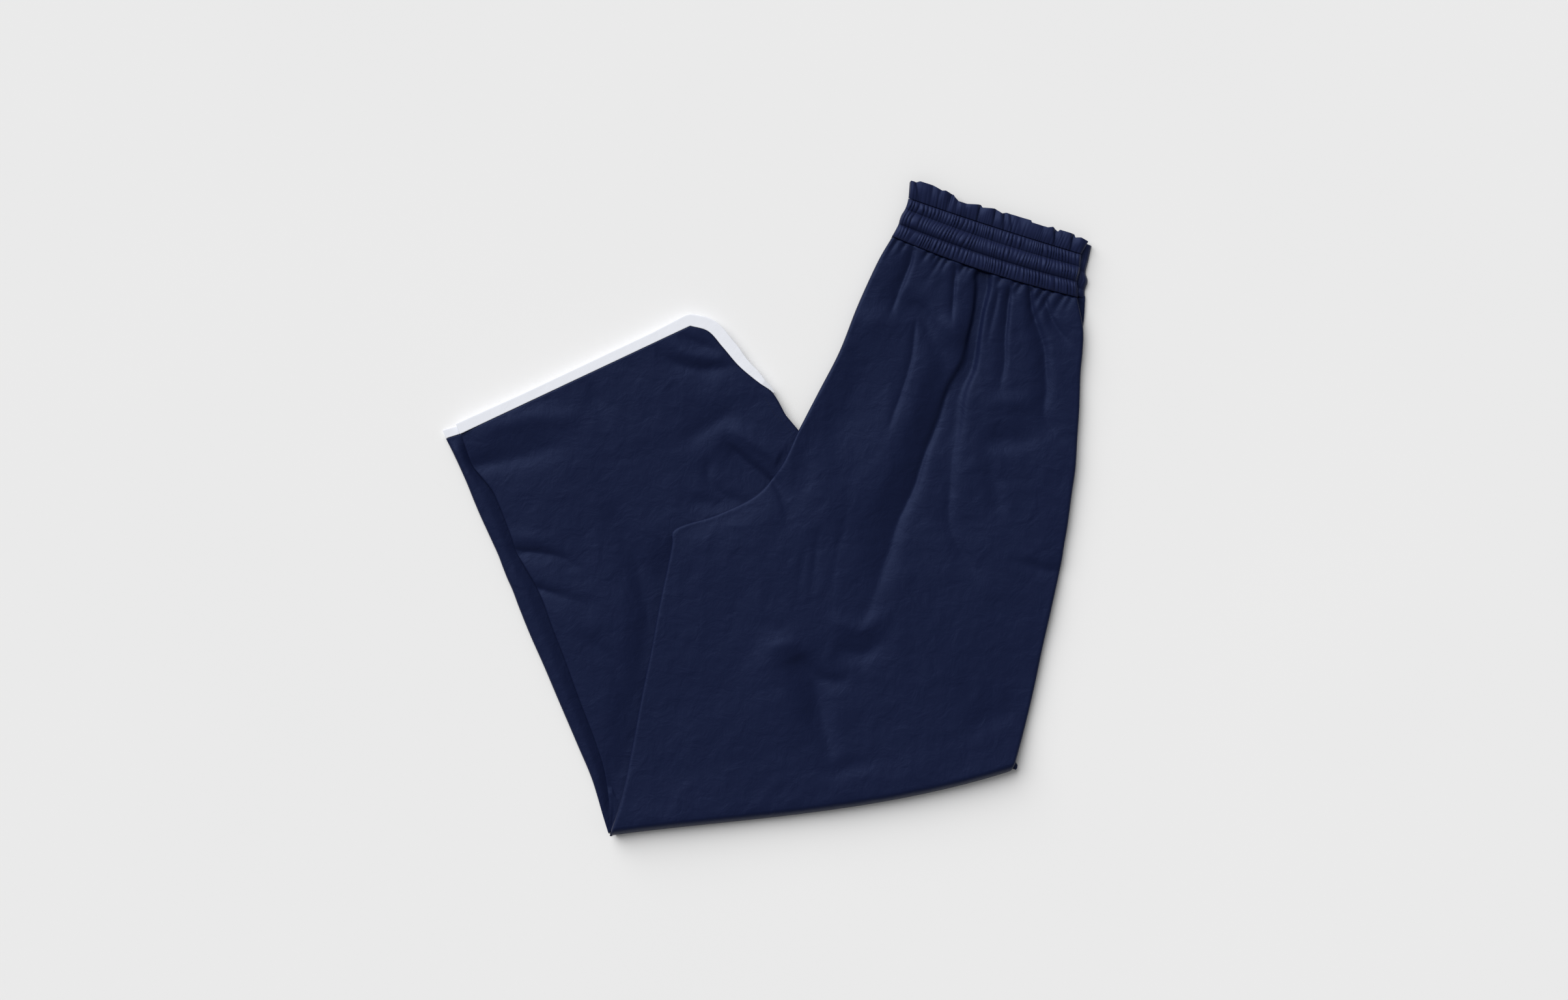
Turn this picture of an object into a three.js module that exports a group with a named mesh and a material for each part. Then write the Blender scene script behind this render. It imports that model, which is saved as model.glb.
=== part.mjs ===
// Track pants, folded leg on leg and then at the knee, lying on a surface.
// Millimetres. X is to the right of the pile, Y up towards the waist, Z up from the surface.
// The waist is at the upper right, the knee fold at the bottom, and the lower legs are tucked
// under the upper part with their white hems at the upper left.

import * as THREE from 'three';

// Driving dimensions

const SEAM_GAP = 0.35; // room between two pieces that meet at a seam
const CLOTH = 1.8; // wall of a leg panel, with the air that it holds
const STRIP_CLOTH = 1.5; // wall of the panel that lies lowest
const LOWER_TOP = 8.0; // top of the two lower legs, four layers
const STRIP_TOP = 3.4; // top of the right lower leg, two layers
const PILE_OVER_LEGS = 15.0; // top of the pile where it lies over the lower legs
const PILE_ALONE = 9.4; // top of the pile where it lies on the surface
const PILE_SLOPE = 70; // width of the slope between the two
const KNEE_PUFF = 1.6; // extra height of the fold at the knee
const KNEE_PUFF_REACH = 55;
const KNEE_LEAN = 1.5; // puts the knee fold's lowest part nearer to the outer edge
const UPPER_ROUND = 8; // width over which the upper panel rounds down at its edges
const LOWER_ROUND = 6; // the same on the lower leg
const STRIP_ROUND = 4;
const TUCK = 4.8; // how far the lower legs' panels reach under the upper one
const CORE_TUCK = 5.6; // where the hidden layers begin behind them
const STRIP_UNDER = 12; // how far the lowest panel reaches under the lower leg

// Heights at which the edge of the upper panel ends
const FOLD_LOW = 1.4; // round the knee fold and beside the rise, where it goes down to the surface
const OUTER_LOW = 4.8; // at the side seam, above the left leg's edge
const OVER_LEGS_LOW = 8.6; // where it lies over the lower legs

// Rows of the upper panel from the waist seam to the knee fold: the ends of each row at the inner
// edge (rise, crotch point, inseam) and at the outer edge (side seam), the row's sag in the
// middle, and the height at which the panel's inner edge ends
const UPPER_ROWS = [
  { inner: [115.5, 250.4], outer: [286.5, 194.2], sag: 4, innerLow: FOLD_LOW },
  { inner: [104.7, 232.2], outer: [291.9, 165], sag: 4, innerLow: FOLD_LOW },
  { inner: [93.9, 210], outer: [291.3, 144.6], sag: 3, innerLow: FOLD_LOW },
  { inner: [82.5, 184.2], outer: [289.5, 125.4], sag: 2, innerLow: FOLD_LOW },
  { inner: [66.9, 144.6], outer: [288.3, 91.8], sag: 1, innerLow: FOLD_LOW },
  { inner: [47.7, 107.4], outer: [286.5, 65.4], sag: 0, innerLow: 3.5 },
  { inner: [28.5, 70.2], outer: [284.7, 36.6], sag: 0, innerLow: OVER_LEGS_LOW },
  { inner: [12.3, 37.8], outer: [281.7, 15.6], sag: 0, innerLow: OVER_LEGS_LOW },
  { inner: [-8.7, 13.2], outer: [279.3, -2.4], sag: 0, innerLow: OVER_LEGS_LOW },
  { inner: [-45.3, -5.4], outer: [277.5, -15.6], sag: 0, innerLow: OVER_LEGS_LOW },
  { inner: [-84.9, -21], outer: [273.9, -36.6], sag: 0, innerLow: OVER_LEGS_LOW },
  { inner: [-89.7, -47.4], outer: [270.9, -57], sag: 0, innerLow: OVER_LEGS_LOW },
  { inner: [-99.9, -93], outer: [261.9, -95.4], sag: 0, innerLow: OVER_LEGS_LOW },
  { inner: [-106.8, -130.8], outer: [254.1, -129.6], sag: 1, innerLow: OVER_LEGS_LOW },
  { inner: [-114.9, -170.4], outer: [247.5, -161.4], sag: 2, innerLow: OVER_LEGS_LOW },
  { inner: [-123.9, -218.4], outer: [239.1, -197.4], sag: 5, innerLow: OVER_LEGS_LOW },
  { inner: [-133.5, -264], outer: [233.1, -220.4], sag: 8, innerLow: OVER_LEGS_LOW },
  { inner: [-145.5, -302.4], outer: [227, -242], sag: 9.5, innerLow: FOLD_LOW },
];

// Folds of the upper panel. Each runs down the panel at a place across it, which may drift, from
// one row to another, and is a trough (or a ridge, where the depth is below zero)
const UPPER_FOLDS = [
  { at: 0.49, drift: 0.02, width: 0.032, depth: 3.6, from: -1, to: 8.5 },
  { at: 0.445, drift: 0.0, width: 0.022, depth: -1.0, from: -1, to: 7.5 },
  { at: 0.55, drift: 0.03, width: 0.022, depth: -1.1, from: -1, to: 7 },
  { at: 0.64, drift: 0.0, width: 0.02, depth: 1.3, from: -1, to: 5.5 },
  { at: 0.75, drift: 0.04, width: 0.03, depth: 1.6, from: -1, to: 5.5 },
  { at: 0.84, drift: 0.02, width: 0.02, depth: 0.9, from: -1, to: 2.5 },
  { at: 0.33, drift: 0.0, width: 0.02, depth: 0.9, from: -1, to: 2.5 },
  { at: 0.22, drift: 0.05, width: 0.03, depth: -0.8, from: -1, to: 4.5 },
  { at: 0.11, drift: 0.02, width: 0.03, depth: 1.2, from: -1, to: 3.5 },
  { at: 0.6, drift: 0.02, width: 0.035, depth: 1.1, from: 6, to: 11.5 },
  { at: 0.3, drift: -0.1, width: 0.05, depth: 1.2, from: 12, to: 16.5 },
];
// Places across the upper panel of the columns between its rounded edges
const UPPER_COLUMNS = [
  0.055, 0.11, 0.165, 0.22, 0.275, 0.33, 0.385, 0.445, 0.468, 0.49, 0.52, 0.55,
  0.595, 0.64, 0.695, 0.75, 0.8, 0.85, 0.925,
];

// Rows of the lower legs from the hem to the knee: the strip's edge (the right leg, which lies
// lowest), the left leg's edge, and the far end, which is a point or lies under a row of the
// upper panel
const LOWER_ROWS = [
  { strip: [-296.1, 64.2], edge: [-282.3, 68.4], far: [-70.5, 168] },
  { strip: [-290, 52], edge: [-277.5, 54.5], far: [-54.3, 163.2] },
  { strip: [-283, 37], edge: [-271.5, 39.5], far: [-40.5, 148.2] },
  { strip: [-277, 23.4], edge: [-263.5, 29], far: [-25.5, 130.8] },
  { strip: [-270, 6], edge: [-253.5, 16.5], far: [-7.5, 115.8] },
  { strip: [-264, -8], edge: [-246.3, 1], far: [5.7, 106.2] },
  { strip: [-258.5, -20], edge: [-240.5, -14], far: [17.7, 85.8] },
  { strip: [-253, -32], edge: [-235.5, -27.5], under: 6 },
  { strip: [-248, -43], edge: [-231.2, -40], under: 7 },
  { strip: [-243.5, -55], edge: [-225.5, -50.5], under: 8 },
  { strip: [-239.5, -65], edge: [-219.8, -60], under: 9 },
  { strip: [-235, -75], edge: [-213.9, -70.2], under: 10 },
  { strip: [-229, -91], edge: [-207.5, -84], under: 11 },
  { strip: [-218.5, -117], edge: [-196.5, -114], under: 12 },
  { strip: [-206.5, -144], edge: [-186, -141], under: 13 },
  { strip: [-192.5, -177], edge: [-174, -174], under: 14 },
  { strip: [-174.5, -219], edge: [-158.1, -216], under: 15 },
  { strip: [-161.5, -250], edge: [-149.7, -243], under: 16 },
  { strip: [-151, -285], edge: [-145.6, -275], under: 16.5 },
];
const LEFT_LEG_END = 17; // row at which the left leg's panel ends; the lowest one goes on
const LAST_TUCK = 1.4; // how far the lowest panel reaches under the upper one in its last row
const STRIP_SHARE = 0.6; // most of a row's width that the lowest panel takes under the left leg
// Soft dents of the lower leg: middle, reach along and across, turn in degrees, and depth
const LOWER_DENTS = [
  { x: -14, y: 49, along: 34, across: 9, turn: -47, depth: 1.5 },
  { x: -44, y: 62, along: 12, across: 9, turn: 60, depth: 0.7 },
  { x: -250, y: 42, along: 22, across: 7, turn: 30, depth: 0.8 },
  { x: -212, y: -38, along: 20, across: 6, turn: 25, depth: 0.8 },
  { x: -196, y: -60, along: 24, across: 7, turn: 20, depth: 0.7 },
  { x: -92, y: 138, along: 26, across: 6, turn: -20, depth: 0.6 },
];
const LOWER_COLUMNS = [0.1, 0.22, 0.34, 0.46, 0.58, 0.7, 0.82, 0.92, 1];

// Rows of the right half of the waistband from the stitching under the heading to the seam:
// its ends, its sag in the middle, its height, and the height of its gathers there
const BAND_ROWS = [
  { left: [130.5, 285.6], right: [290.1, 234], sag: 1, top: 10.4, gather: 0.25 },
  { left: [129.3, 280.8], right: [289.5, 228.6], sag: 2, top: 11.7, gather: 0.7 },
  { left: [127.5, 276], right: [288.9, 222.6], sag: 3, top: 10.5, gather: 0.4 },
  { left: [124.2, 270.6], right: [288.3, 217.8], sag: 3, top: 12.9, gather: 0.3 },
  { left: [122.4, 265.8], right: [287.1, 213], sag: 3, top: 12.7, gather: 0.3 },
  { left: [121.5, 262.2], right: [286.2, 208.8], sag: 3, top: 10.6, gather: 0.4 },
  { left: [119.1, 257.4], right: [286.5, 202.8], sag: 3.5, top: 12, gather: 0.7 },
  { left: [115.5, 250.8], right: [286.5, 194.6], sag: 4, top: 10.4, gather: 0.35 },
];
const BAND_GATHERS = 44;
const BAND_INSIDE = 7.8; // height of the plain inside of the right half
const BAND_LEAST = 0.6; // its wall at the very ends
const BAND_ROUND = 5; // width over which its ends round down

// The heading above the channels, a ruffle
const HEADING_ROWS = [
  { left: [131.7, 301.5], right: [296.2, 246.4], sag: -1, wave: 1.9 },
  { left: [131.1, 293.6], right: [293.2, 240.2], sag: 0, wave: 1.3 },
  { left: [130.5, 286], right: [290.1, 234.4], sag: 1, wave: 0.3 },
];
const HEADING_WAVES = 10;
const HEADING_STEPS = 5; // columns in each wave
const HEADING_DRIFT = 0.12; // how far the waves are out of step, in waves
const HEADING_TOP = 9.8;
const HEADING_CLOTH = 1.5;

// Rows of the left half of the waistband, which lies underneath and shows at the right end
const BAND_UNDER_ROWS = [
  { left: [132.4, 297.5], right: [300, 242.4], sag: -1, top: 5.2 },
  { left: [131.6, 285.6], right: [297, 228.8], sag: 1, top: 7.3 },
  { left: [127, 272.6], right: [294.6, 217.8], sag: 3, top: 7.4 },
  { left: [124.2, 266], right: [296.4, 210], sag: 3, top: 7.4 },
  { left: [121.8, 259], right: [293.8, 201.6], sag: 3, top: 7.4 },
  { left: [117.6, 251.6], right: [293.9, 193.8], sag: 4, top: 7 },
];
const BAND_UNDER_COLUMNS = 14;
const BAND_UNDER_END = 0.35; // share of its height that is left at its very ends
const LEFT_LEG_SHOWS = 8; // how far the left leg stands out beside the right one at the waist

// White bindings of the hems: widths at places along them, from the inseam end to the outseam end
const BINDING_WIDTHS = [
  { at: 0, width: 10.5 },
  { at: 0.2, width: 9.3 },
  { at: 0.6, width: 9.6 },
  { at: 0.72, width: 11.4 },
  { at: 0.84, width: 11.2 },
  { at: 0.93, width: 8 },
  { at: 1, width: 1.4 },
];
const BINDING_LAST_ROW = 5; // row of the lower leg at which they end on the outseam
const BINDING_INSET = 1.2; // how much the lower one is hidden by the upper one
const BINDING_LIFT = 0.4; // how far the upper one lies above its panel and above the lower one

const NAVY = '#222842';
const WHITE = '#e6e8ee';

// Curves and small helpers

const { lerp, smoothstep, degToRad } = THREE.MathUtils;
const ROUND_ANGLES = [0, 24, 48, 70, 90].map(degToRad);

const flat = ([x, y]) => new THREE.Vector3(x, y, 0);

function spline(points) {
  return new THREE.CatmullRomCurve3(points.map(flat), false, 'centripetal');
}

// A value of a table's column at a row that may lie between two of its rows
function column(table, name, row) {
  const first = Math.min(Math.floor(row), table.length - 2);
  return lerp(table[first][name], table[first + 1][name], row - first);
}

// A value at a place between 0 and 1 in a table with a column named at
function along(table, name, place) {
  let next = 1;
  while (next < table.length - 1 && table[next].at < place) {
    next += 1;
  }
  const [a, b] = [table[next - 1], table[next]];
  return lerp(a[name], b[name], (place - a.at) / (b.at - a.at));
}

const turned = (v) => new THREE.Vector3(-v.y, v.x, 0).normalize();

// Place and inward normal of an edge curve at a row; side is 1 for an inner and -1 for an outer edge
function edgeAt(curve, rows, row, side) {
  const t = row / (rows - 1);
  return { place: curve.getPoint(t), inward: turned(curve.getTangent(t)).multiplyScalar(side) };
}

// Near a row that ends the panel an edge's inward normal turns to run along that row, so that the
// row is straight
function alongEndRow(edge, towards, rowsAway) {
  const direction = towards.clone().sub(edge.place).normalize();
  edge.inward.lerp(direction, 1 - smoothstep(rowsAway, 0, 1.5)).normalize();
}

// Columns of a panel: those that turn down at the inner edge, those at places between, and those
// that turn down at the outer edge. The turn is 1 at the very edge and 0 on the flat
function columnsAt(places, roundedOuter) {
  const turns = ROUND_ANGLES.map(Math.cos);
  const outer = roundedOuter ? [...turns].reverse() : [];
  return [
    ...turns.map((turn) => ({ side: -1, turn, across: 0 })),
    ...places.map((across) => ({ side: 0, turn: 0, across })),
    ...outer.map((turn) => ({ side: 1, turn, across: 1 })),
  ];
}

// The plan point of a column in a row between two edges. The row sags in its middle, or nearer to
// its outer end where the lean is above 1
function planPoint(inner, outer, { side, across }, turn, round, outerRound, sag, lean = 1) {
  const start = inner.place.clone().addScaledVector(inner.inward, round);
  const end = outer.place.clone().addScaledVector(outer.inward, outerRound);
  let place = start.clone().lerp(end, across);
  if (side < 0) {
    place = inner.place.clone().addScaledVector(inner.inward, round * (1 - turn));
  } else if (side > 0) {
    place = outer.place.clone().addScaledVector(outer.inward, outerRound * (1 - turn));
  }
  const t = (place.distanceTo(inner.place) / outer.place.distanceTo(inner.place)) ** lean;
  const downwards = turned(end.sub(start)).negate();
  return place.addScaledVector(downwards, sag * 4 * t * (1 - t));
}

function dentDepth(dents, x, y) {
  let depth = 0;
  for (const dent of dents) {
    const turn = degToRad(dent.turn);
    const dx = x - dent.x;
    const dy = y - dent.y;
    const u = (dx * Math.cos(turn) + dy * Math.sin(turn)) / dent.along;
    const v = (dy * Math.cos(turn) - dx * Math.sin(turn)) / dent.across;
    depth += dent.depth * Math.exp(-(u * u + v * v));
  }
  return depth;
}

// Closed solids from grids and loops of points

class Body {
  constructor() {
    this.positions = [];
    this.faces = [];
  }

  add(point) {
    this.positions.push(point.x, point.y, point.z);
    return this.positions.length / 3 - 1;
  }

  addAll(points) {
    return points.map((point) => this.add(point));
  }

  quad(a, b, c, d) {
    this.faces.push(a, b, c, a, c, d);
  }

  // Faces between two rows of indices, or between two loops
  between(first, second, closed = false) {
    const count = closed ? first.length : first.length - 1;
    for (let i = 0; i < count; i += 1) {
      const next = (i + 1) % first.length;
      this.quad(first[i], second[i], second[next], first[next]);
    }
  }

  // The same faces, seen from the other side
  betweenTurned(first, second) {
    for (let i = 0; i < first.length - 1; i += 1) {
      this.quad(second[i + 1], second[i], first[i], first[i + 1]);
    }
  }

  // A fan over a loop of indices
  fan(loop) {
    for (let i = 1; i < loop.length - 1; i += 1) {
      this.faces.push(loop[0], loop[i], loop[i + 1]);
    }
  }

  mesh(name, colour, roughness) {
    const geometry = new THREE.BufferGeometry();
    geometry.setAttribute('position', new THREE.Float32BufferAttribute(this.positions, 3));
    if (this.signedVolume() < 0) {
      for (let i = 0; i < this.faces.length; i += 3) {
        [this.faces[i], this.faces[i + 1]] = [this.faces[i + 1], this.faces[i]];
      }
    }
    geometry.setIndex(this.faces);
    geometry.computeVertexNormals();
    const material = new THREE.MeshStandardMaterial({ color: colour, roughness, metalness: 0 });
    const mesh = new THREE.Mesh(geometry, material);
    mesh.name = name;
    return mesh;
  }

  signedVolume() {
    const corner = (i) => new THREE.Vector3().fromArray(this.positions, 3 * this.faces[i]);
    let sum = 0;
    for (let i = 0; i < this.faces.length; i += 3) {
      sum += corner(i).dot(corner(i + 1).cross(corner(i + 2)));
    }
    return sum / 6;
  }
}

// The indices or points round the border of a grid, in one direction
function border(grid) {
  const last = grid.length - 1;
  const sides = grid.slice(1, last);
  return [
    ...grid[0],
    ...sides.map((row) => row[row.length - 1]),
    ...[...grid[last]].reverse(),
    ...sides.map((row) => row[0]).reverse(),
  ];
}

// A wall between two grids of the same size
function wallBetween(outside, inside) {
  const body = new Body();
  const top = outside.map((row) => body.addAll(row));
  const bottom = inside.map((row) => body.addAll(row));
  for (let j = 0; j < top.length - 1; j += 1) {
    body.between(top[j], top[j + 1]);
    body.betweenTurned(bottom[j], bottom[j + 1]);
  }
  body.between(border(bottom), border(top), true);
  return body;
}

// A solid with a grid as its top, loops that go down its side, and a flat face underneath. The
// loops have the points of the grid's border, so the face below is a ladder from side to side
function solidUnder(grid, loops) {
  const body = new Body();
  const top = grid.map((row) => body.addAll(row));
  for (let j = 0; j < top.length - 1; j += 1) {
    body.between(top[j], top[j + 1]);
  }
  let above = border(top);
  for (const loop of loops) {
    const below = body.addAll(loop);
    body.between(below, above, true);
    above = below;
  }
  const columns = grid[0].length - 1;
  const rows = grid.length - 1;
  const outer = (j) => above[columns + j];
  const inner = (j) => above[(2 * columns + 2 * rows - j) % above.length];
  body.fan([inner(1), ...above.slice(0, columns + 1), outer(1)]);
  for (let j = 1; j < rows - 1; j += 1) {
    body.quad(outer(j), outer(j + 1), inner(j + 1), inner(j));
  }
  body.fan(above.slice(columns + rows - 1, 2 * columns + rows + 2));
  return body;
}

// Points of a grid moved in by a distance, square to the surface. On the border they move level
// with it, and in the first row, where the cloth is cut at a seam, they stay in the plane of the cut
function movedIn(grid, distance, roundedFar = true) {
  const rows = grid.length - 1;
  return grid.map((row, j) => {
    const columns = row.length - 1;
    const direction = row[columns].clone().sub(row[0]).setZ(0).normalize();
    return row.map((point, i) => {
      const acrossIt = row[Math.min(i + 1, columns)].clone().sub(row[Math.max(i - 1, 0)]);
      const downIt = grid[Math.min(j + 1, rows)][i].clone().sub(grid[Math.max(j - 1, 0)][i]);
      const normal = downIt.cross(acrossIt).normalize();
      if (i === 0 || (roundedFar && (i === columns || j === rows))) {
        normal.setZ(0);
      }
      if (j === 0) {
        const sideways = normal.dot(direction);
        normal.set(direction.x * sideways, direction.y * sideways, normal.z);
      }
      return point.clone().addScaledVector(normal.normalize(), -distance);
    });
  });
}

// The upper panel

const upperInner = spline(UPPER_ROWS.map((row) => row.inner));
const upperOuter = spline(UPPER_ROWS.map((row) => row.outer));
const UPPER_LAST = UPPER_ROWS.length - 1;
const LOWER_FAR_START = flat(UPPER_ROWS[6].inner); // where the lower leg goes under the panel
const LOWER_FAR_END = flat(UPPER_ROWS[UPPER_LAST].outer);

function distanceFromLine(start, end, point) {
  return turned(end.clone().sub(start)).dot(point.clone().sub(start));
}

// Height of the pile's top at a point of the plan
function pileTop(point) {
  const beside = distanceFromLine(LOWER_FAR_START, LOWER_FAR_END, point);
  const alone = smoothstep(beside, -0.4 * PILE_SLOPE, 0.6 * PILE_SLOPE);
  const fold = UPPER_ROWS[UPPER_LAST];
  const fromFold = distanceFromLine(flat(fold.inner), flat(fold.outer), point);
  const puff = KNEE_PUFF * (1 - smoothstep(fromFold, 0, KNEE_PUFF_REACH));
  return lerp(PILE_OVER_LEGS, PILE_ALONE, alone) + puff;
}

function foldDepth(across, row) {
  let depth = 0;
  for (const fold of UPPER_FOLDS) {
    const run = THREE.MathUtils.clamp((row - fold.from) / (fold.to - fold.from), 0, 1);
    const begin = fold.from < 0 ? 1 : smoothstep(run, 0, 0.3);
    const end = 1 - smoothstep(run, 0.55, 1);
    const offset = (across - fold.at - fold.drift * run) / fold.width;
    depth += fold.depth * begin * end * Math.exp(-offset * offset);
  }
  return depth;
}

const upperColumns = columnsAt(UPPER_COLUMNS, true);
const lastSpan = (edge) => flat(UPPER_ROWS[UPPER_LAST][edge])
  .distanceTo(flat(UPPER_ROWS[UPPER_LAST - 1][edge]));

// A point of the upper panel. The row's own turn is above 0 where the panel goes round the knee
// fold, and where both turns meet, at a corner, they make a round one
function upperPoint(row, foldTurn, columnAt) {
  const rows = UPPER_ROWS.length;
  const down = foldTurn * Math.sqrt(1 - columnAt.turn ** 2 / 2);
  const aside = columnAt.turn * Math.sqrt(1 - foldTurn ** 2 / 2);
  const back = row === UPPER_LAST ? UPPER_ROUND * (1 - down) : 0;
  const inner = edgeAt(upperInner, rows, row - back / lastSpan('inner'), 1);
  const outer = edgeAt(upperOuter, rows, row - back / lastSpan('outer'), -1);
  const rowsAway = Math.min(row, UPPER_LAST - row);
  alongEndRow(inner, outer.place, rowsAway);
  alongEndRow(outer, inner.place, rowsAway);
  const sag = column(UPPER_ROWS, 'sag', row);
  const lean = row > UPPER_LAST / 2 ? KNEE_LEAN : 1;
  const place = planPoint(inner, outer, columnAt, aside, UPPER_ROUND, UPPER_ROUND, sag, lean);
  const lift = Math.sqrt(Math.max(0, 1 - down ** 2 - aside ** 2));
  const sideLow = lerp(column(UPPER_ROWS, 'innerLow', row), OUTER_LOW, columnAt.across);
  const low = lerp(sideLow, FOLD_LOW, foldTurn);
  const top = pileTop(place) - foldDepth(columnAt.across, row);
  return place.setZ(low + (top - low) * lift);
}

const UPPER_SAMPLES = [
  0, 0.5, 1, 2, 3, 4, 5, 6, 7, 8, 9, 9.6, 10, 10.4, 11, 12, 13, 14, 15, 16, 16.5,
];
const upperGrid = [
  ...UPPER_SAMPLES.map((row) => upperColumns.map((at) => upperPoint(row, 0, at))),
  ...[...ROUND_ANGLES].reverse().map((angle) => (
    upperColumns.map((at) => upperPoint(UPPER_LAST, Math.cos(angle), at))
  )),
];

const upperPanel = () => wallBetween(upperGrid, movedIn(upperGrid, CLOTH));

// The hidden layers under it: one solid with a groove between the legs at its outer edge, and an
// undercut where it lies on the lower legs. A side has a row of these points from the top down, and
// at the outer edge, shows says which of them stand out where the left leg does
const SIDE_ON_FLOOR = [
  { inset: 2.6, z: 1.2 }, { inset: 2.7, z: 1 }, { inset: 2.8, z: 0.8 },
  { inset: 2.9, z: 0.6 }, { inset: 3, z: 0.4 }, { inset: 3.4, z: 0 },
];
const SIDE_OVER_LEFT_LEG = [
  { inset: 2.7, z: 4.3, shows: 0 }, { inset: 1.5, z: 4.2, shows: 0 }, { inset: 0.4, z: 3.2, shows: 1 },
  { inset: 0.2, z: 2.2, shows: 1 }, { inset: 0.6, z: 1, shows: 1 }, { inset: 2, z: 0, shows: 1 },
];
const SIDE_OVER_LOWER_LEGS = [
  { inset: 2.7, z: 8.4 }, { inset: 4, z: 8.38 }, { inset: CORE_TUCK, z: 8.3 },
  { inset: CORE_TUCK, z: 5.6 }, { inset: CORE_TUCK, z: 2.8 }, { inset: CORE_TUCK, z: 0 },
];

function upperLayers() {
  const top = movedIn(upperGrid, CLOTH + SEAM_GAP);
  const lastRow = upperGrid.length - 1;
  const lastColumn = upperGrid[0].length - 1;
  const rowOf = (j) => UPPER_SAMPLES[j] ?? UPPER_LAST;
  const labels = upperGrid.map((row, j) => row.map((point, i) => ({ point, i, j })));
  const rim = border(labels);
  const rimPoints = rim.map(({ point }) => point.clone().setZ(0));
  const loops = SIDE_ON_FLOOR.map((_, step) => rim.map(({ i, j }, k) => {
    const before = rimPoints[(k + rim.length - 1) % rim.length];
    const after = rimPoints[(k + 1) % rim.length];
    const inward = turned(after.clone().sub(before)).negate();
    if (j === 0 && i > 0 && i < lastColumn) {
      return top[j][i].clone().setZ(top[j][i].z * (1 - (step + 1) / SIDE_ON_FLOOR.length));
    }
    if (j === 0) {
      inward.copy(upperGrid[0][lastColumn]).sub(upperGrid[0][0]).setZ(0).normalize();
      inward.multiplyScalar(i === 0 ? 1 : -1);
    }
    const floor = SIDE_ON_FLOOR[step];
    const atOuter = i === lastColumn && j < lastRow;
    const side = (atOuter ? SIDE_OVER_LEFT_LEG : SIDE_OVER_LOWER_LEGS)[step];
    const full = atOuter ? OUTER_LOW : OVER_LEGS_LOW;
    const share = atOuter || i === 0 ? (upperGrid[j][i].z - FOLD_LOW) / (full - FOLD_LOW) : 0;
    const out = atOuter ? LEFT_LEG_SHOWS * side.shows * Math.max(0, 1 - rowOf(j)) : 0;
    const inset = lerp(floor.inset, side.inset, share) - out;
    const place = rimPoints[k].clone().addScaledVector(inward, inset);
    return place.setZ(lerp(floor.z, side.z, share));
  }));
  return solidUnder(top, loops);
}

// The lower legs

const lowerStrip = spline(LOWER_ROWS.map((row) => row.strip));
const lowerEdge = spline(LOWER_ROWS.map((row) => row.edge));
const lowerFar = spline(LOWER_ROWS.filter((row) => row.far).map((row) => row.far));
const LAST_FAR_ROW = LOWER_ROWS.findIndex((row) => row.under) - 1;

// The far end of a lower row: on the outseam, or under the edge of the upper panel
function farAt(row) {
  if (row <= LAST_FAR_ROW) {
    return edgeAt(lowerFar, LAST_FAR_ROW + 1, row, -1);
  }
  const { under } = LOWER_ROWS[LAST_FAR_ROW + 1];
  const past = Math.max(0, row - LEFT_LEG_END);
  const upperRow = Math.min(row, LEFT_LEG_END) - LAST_FAR_ROW - 1 + under + past / 2;
  const edge = edgeAt(upperInner, UPPER_ROWS.length, upperRow, 1);
  edge.place.addScaledVector(edge.inward, lerp(TUCK, LAST_TUCK, past));
  return { place: edge.place, inward: edge.inward.negate() };
}

// The point under the left leg at which the lowest panel ends
function stripEnd(row) {
  const leftLeg = edgeAt(lowerEdge, LOWER_ROWS.length, row, 1);
  const width = leftLeg.place.distanceTo(farAt(row).place);
  leftLeg.place.addScaledVector(leftLeg.inward, Math.min(STRIP_UNDER, STRIP_SHARE * width));
  return leftLeg;
}

const LOWER_SAMPLES = [
  0, 0.5, 1, 1.5, 2, 3, 4, 5, 6, 7, 8, 9, 10, 10.6, 11, 11.4, 12, 13, 14, 15, 16, 17, 17.5, 18,
];
const lowerColumns = columnsAt(LOWER_COLUMNS, false);
const LOWER_LOW = STRIP_TOP + SEAM_GAP + 0.2; // height at which the left leg's edge ends
const liftOf = (turn) => Math.sqrt(Math.max(0, 1 - turn ** 2));
const lowerGrid = LOWER_SAMPLES.filter((row) => row <= LEFT_LEG_END).map((row) => {
  const edge = edgeAt(lowerEdge, LOWER_ROWS.length, row, 1);
  const far = farAt(row);
  alongEndRow(edge, far.place, row);
  return lowerColumns.map((at) => {
    const place = planPoint(edge, far, at, at.turn, LOWER_ROUND, 0, 0);
    const top = LOWER_TOP - dentDepth(LOWER_DENTS, place.x, place.y);
    return place.setZ(LOWER_LOW + (top - LOWER_LOW) * liftOf(at.turn));
  });
});

const lowerPanel = () => wallBetween(lowerGrid, movedIn(lowerGrid, CLOTH, false));

// The right leg's front panel below it, of which a strip shows beside the left leg
const stripColumns = columnsAt([0.45, 1], false);
const STRIP_EDGE = 0.4; // its wall at its very edge

function lowerStripPanel() {
  const underside = STRIP_TOP - STRIP_CLOTH;
  const top = LOWER_SAMPLES.map((row) => {
    const edge = edgeAt(lowerStrip, LOWER_ROWS.length, row, 1);
    const end = stripEnd(row);
    alongEndRow(edge, end.place, row);
    return stripColumns.map((at) => {
      const rise = lerp(STRIP_EDGE, STRIP_CLOTH, liftOf(at.turn));
      return planPoint(edge, end, at, at.turn, STRIP_ROUND, 0, 0).setZ(underside + rise);
    });
  });
  const bottom = top.map((row) => row.map((point) => point.clone().setZ(underside)));
  return wallBetween(top, bottom);
}

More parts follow.
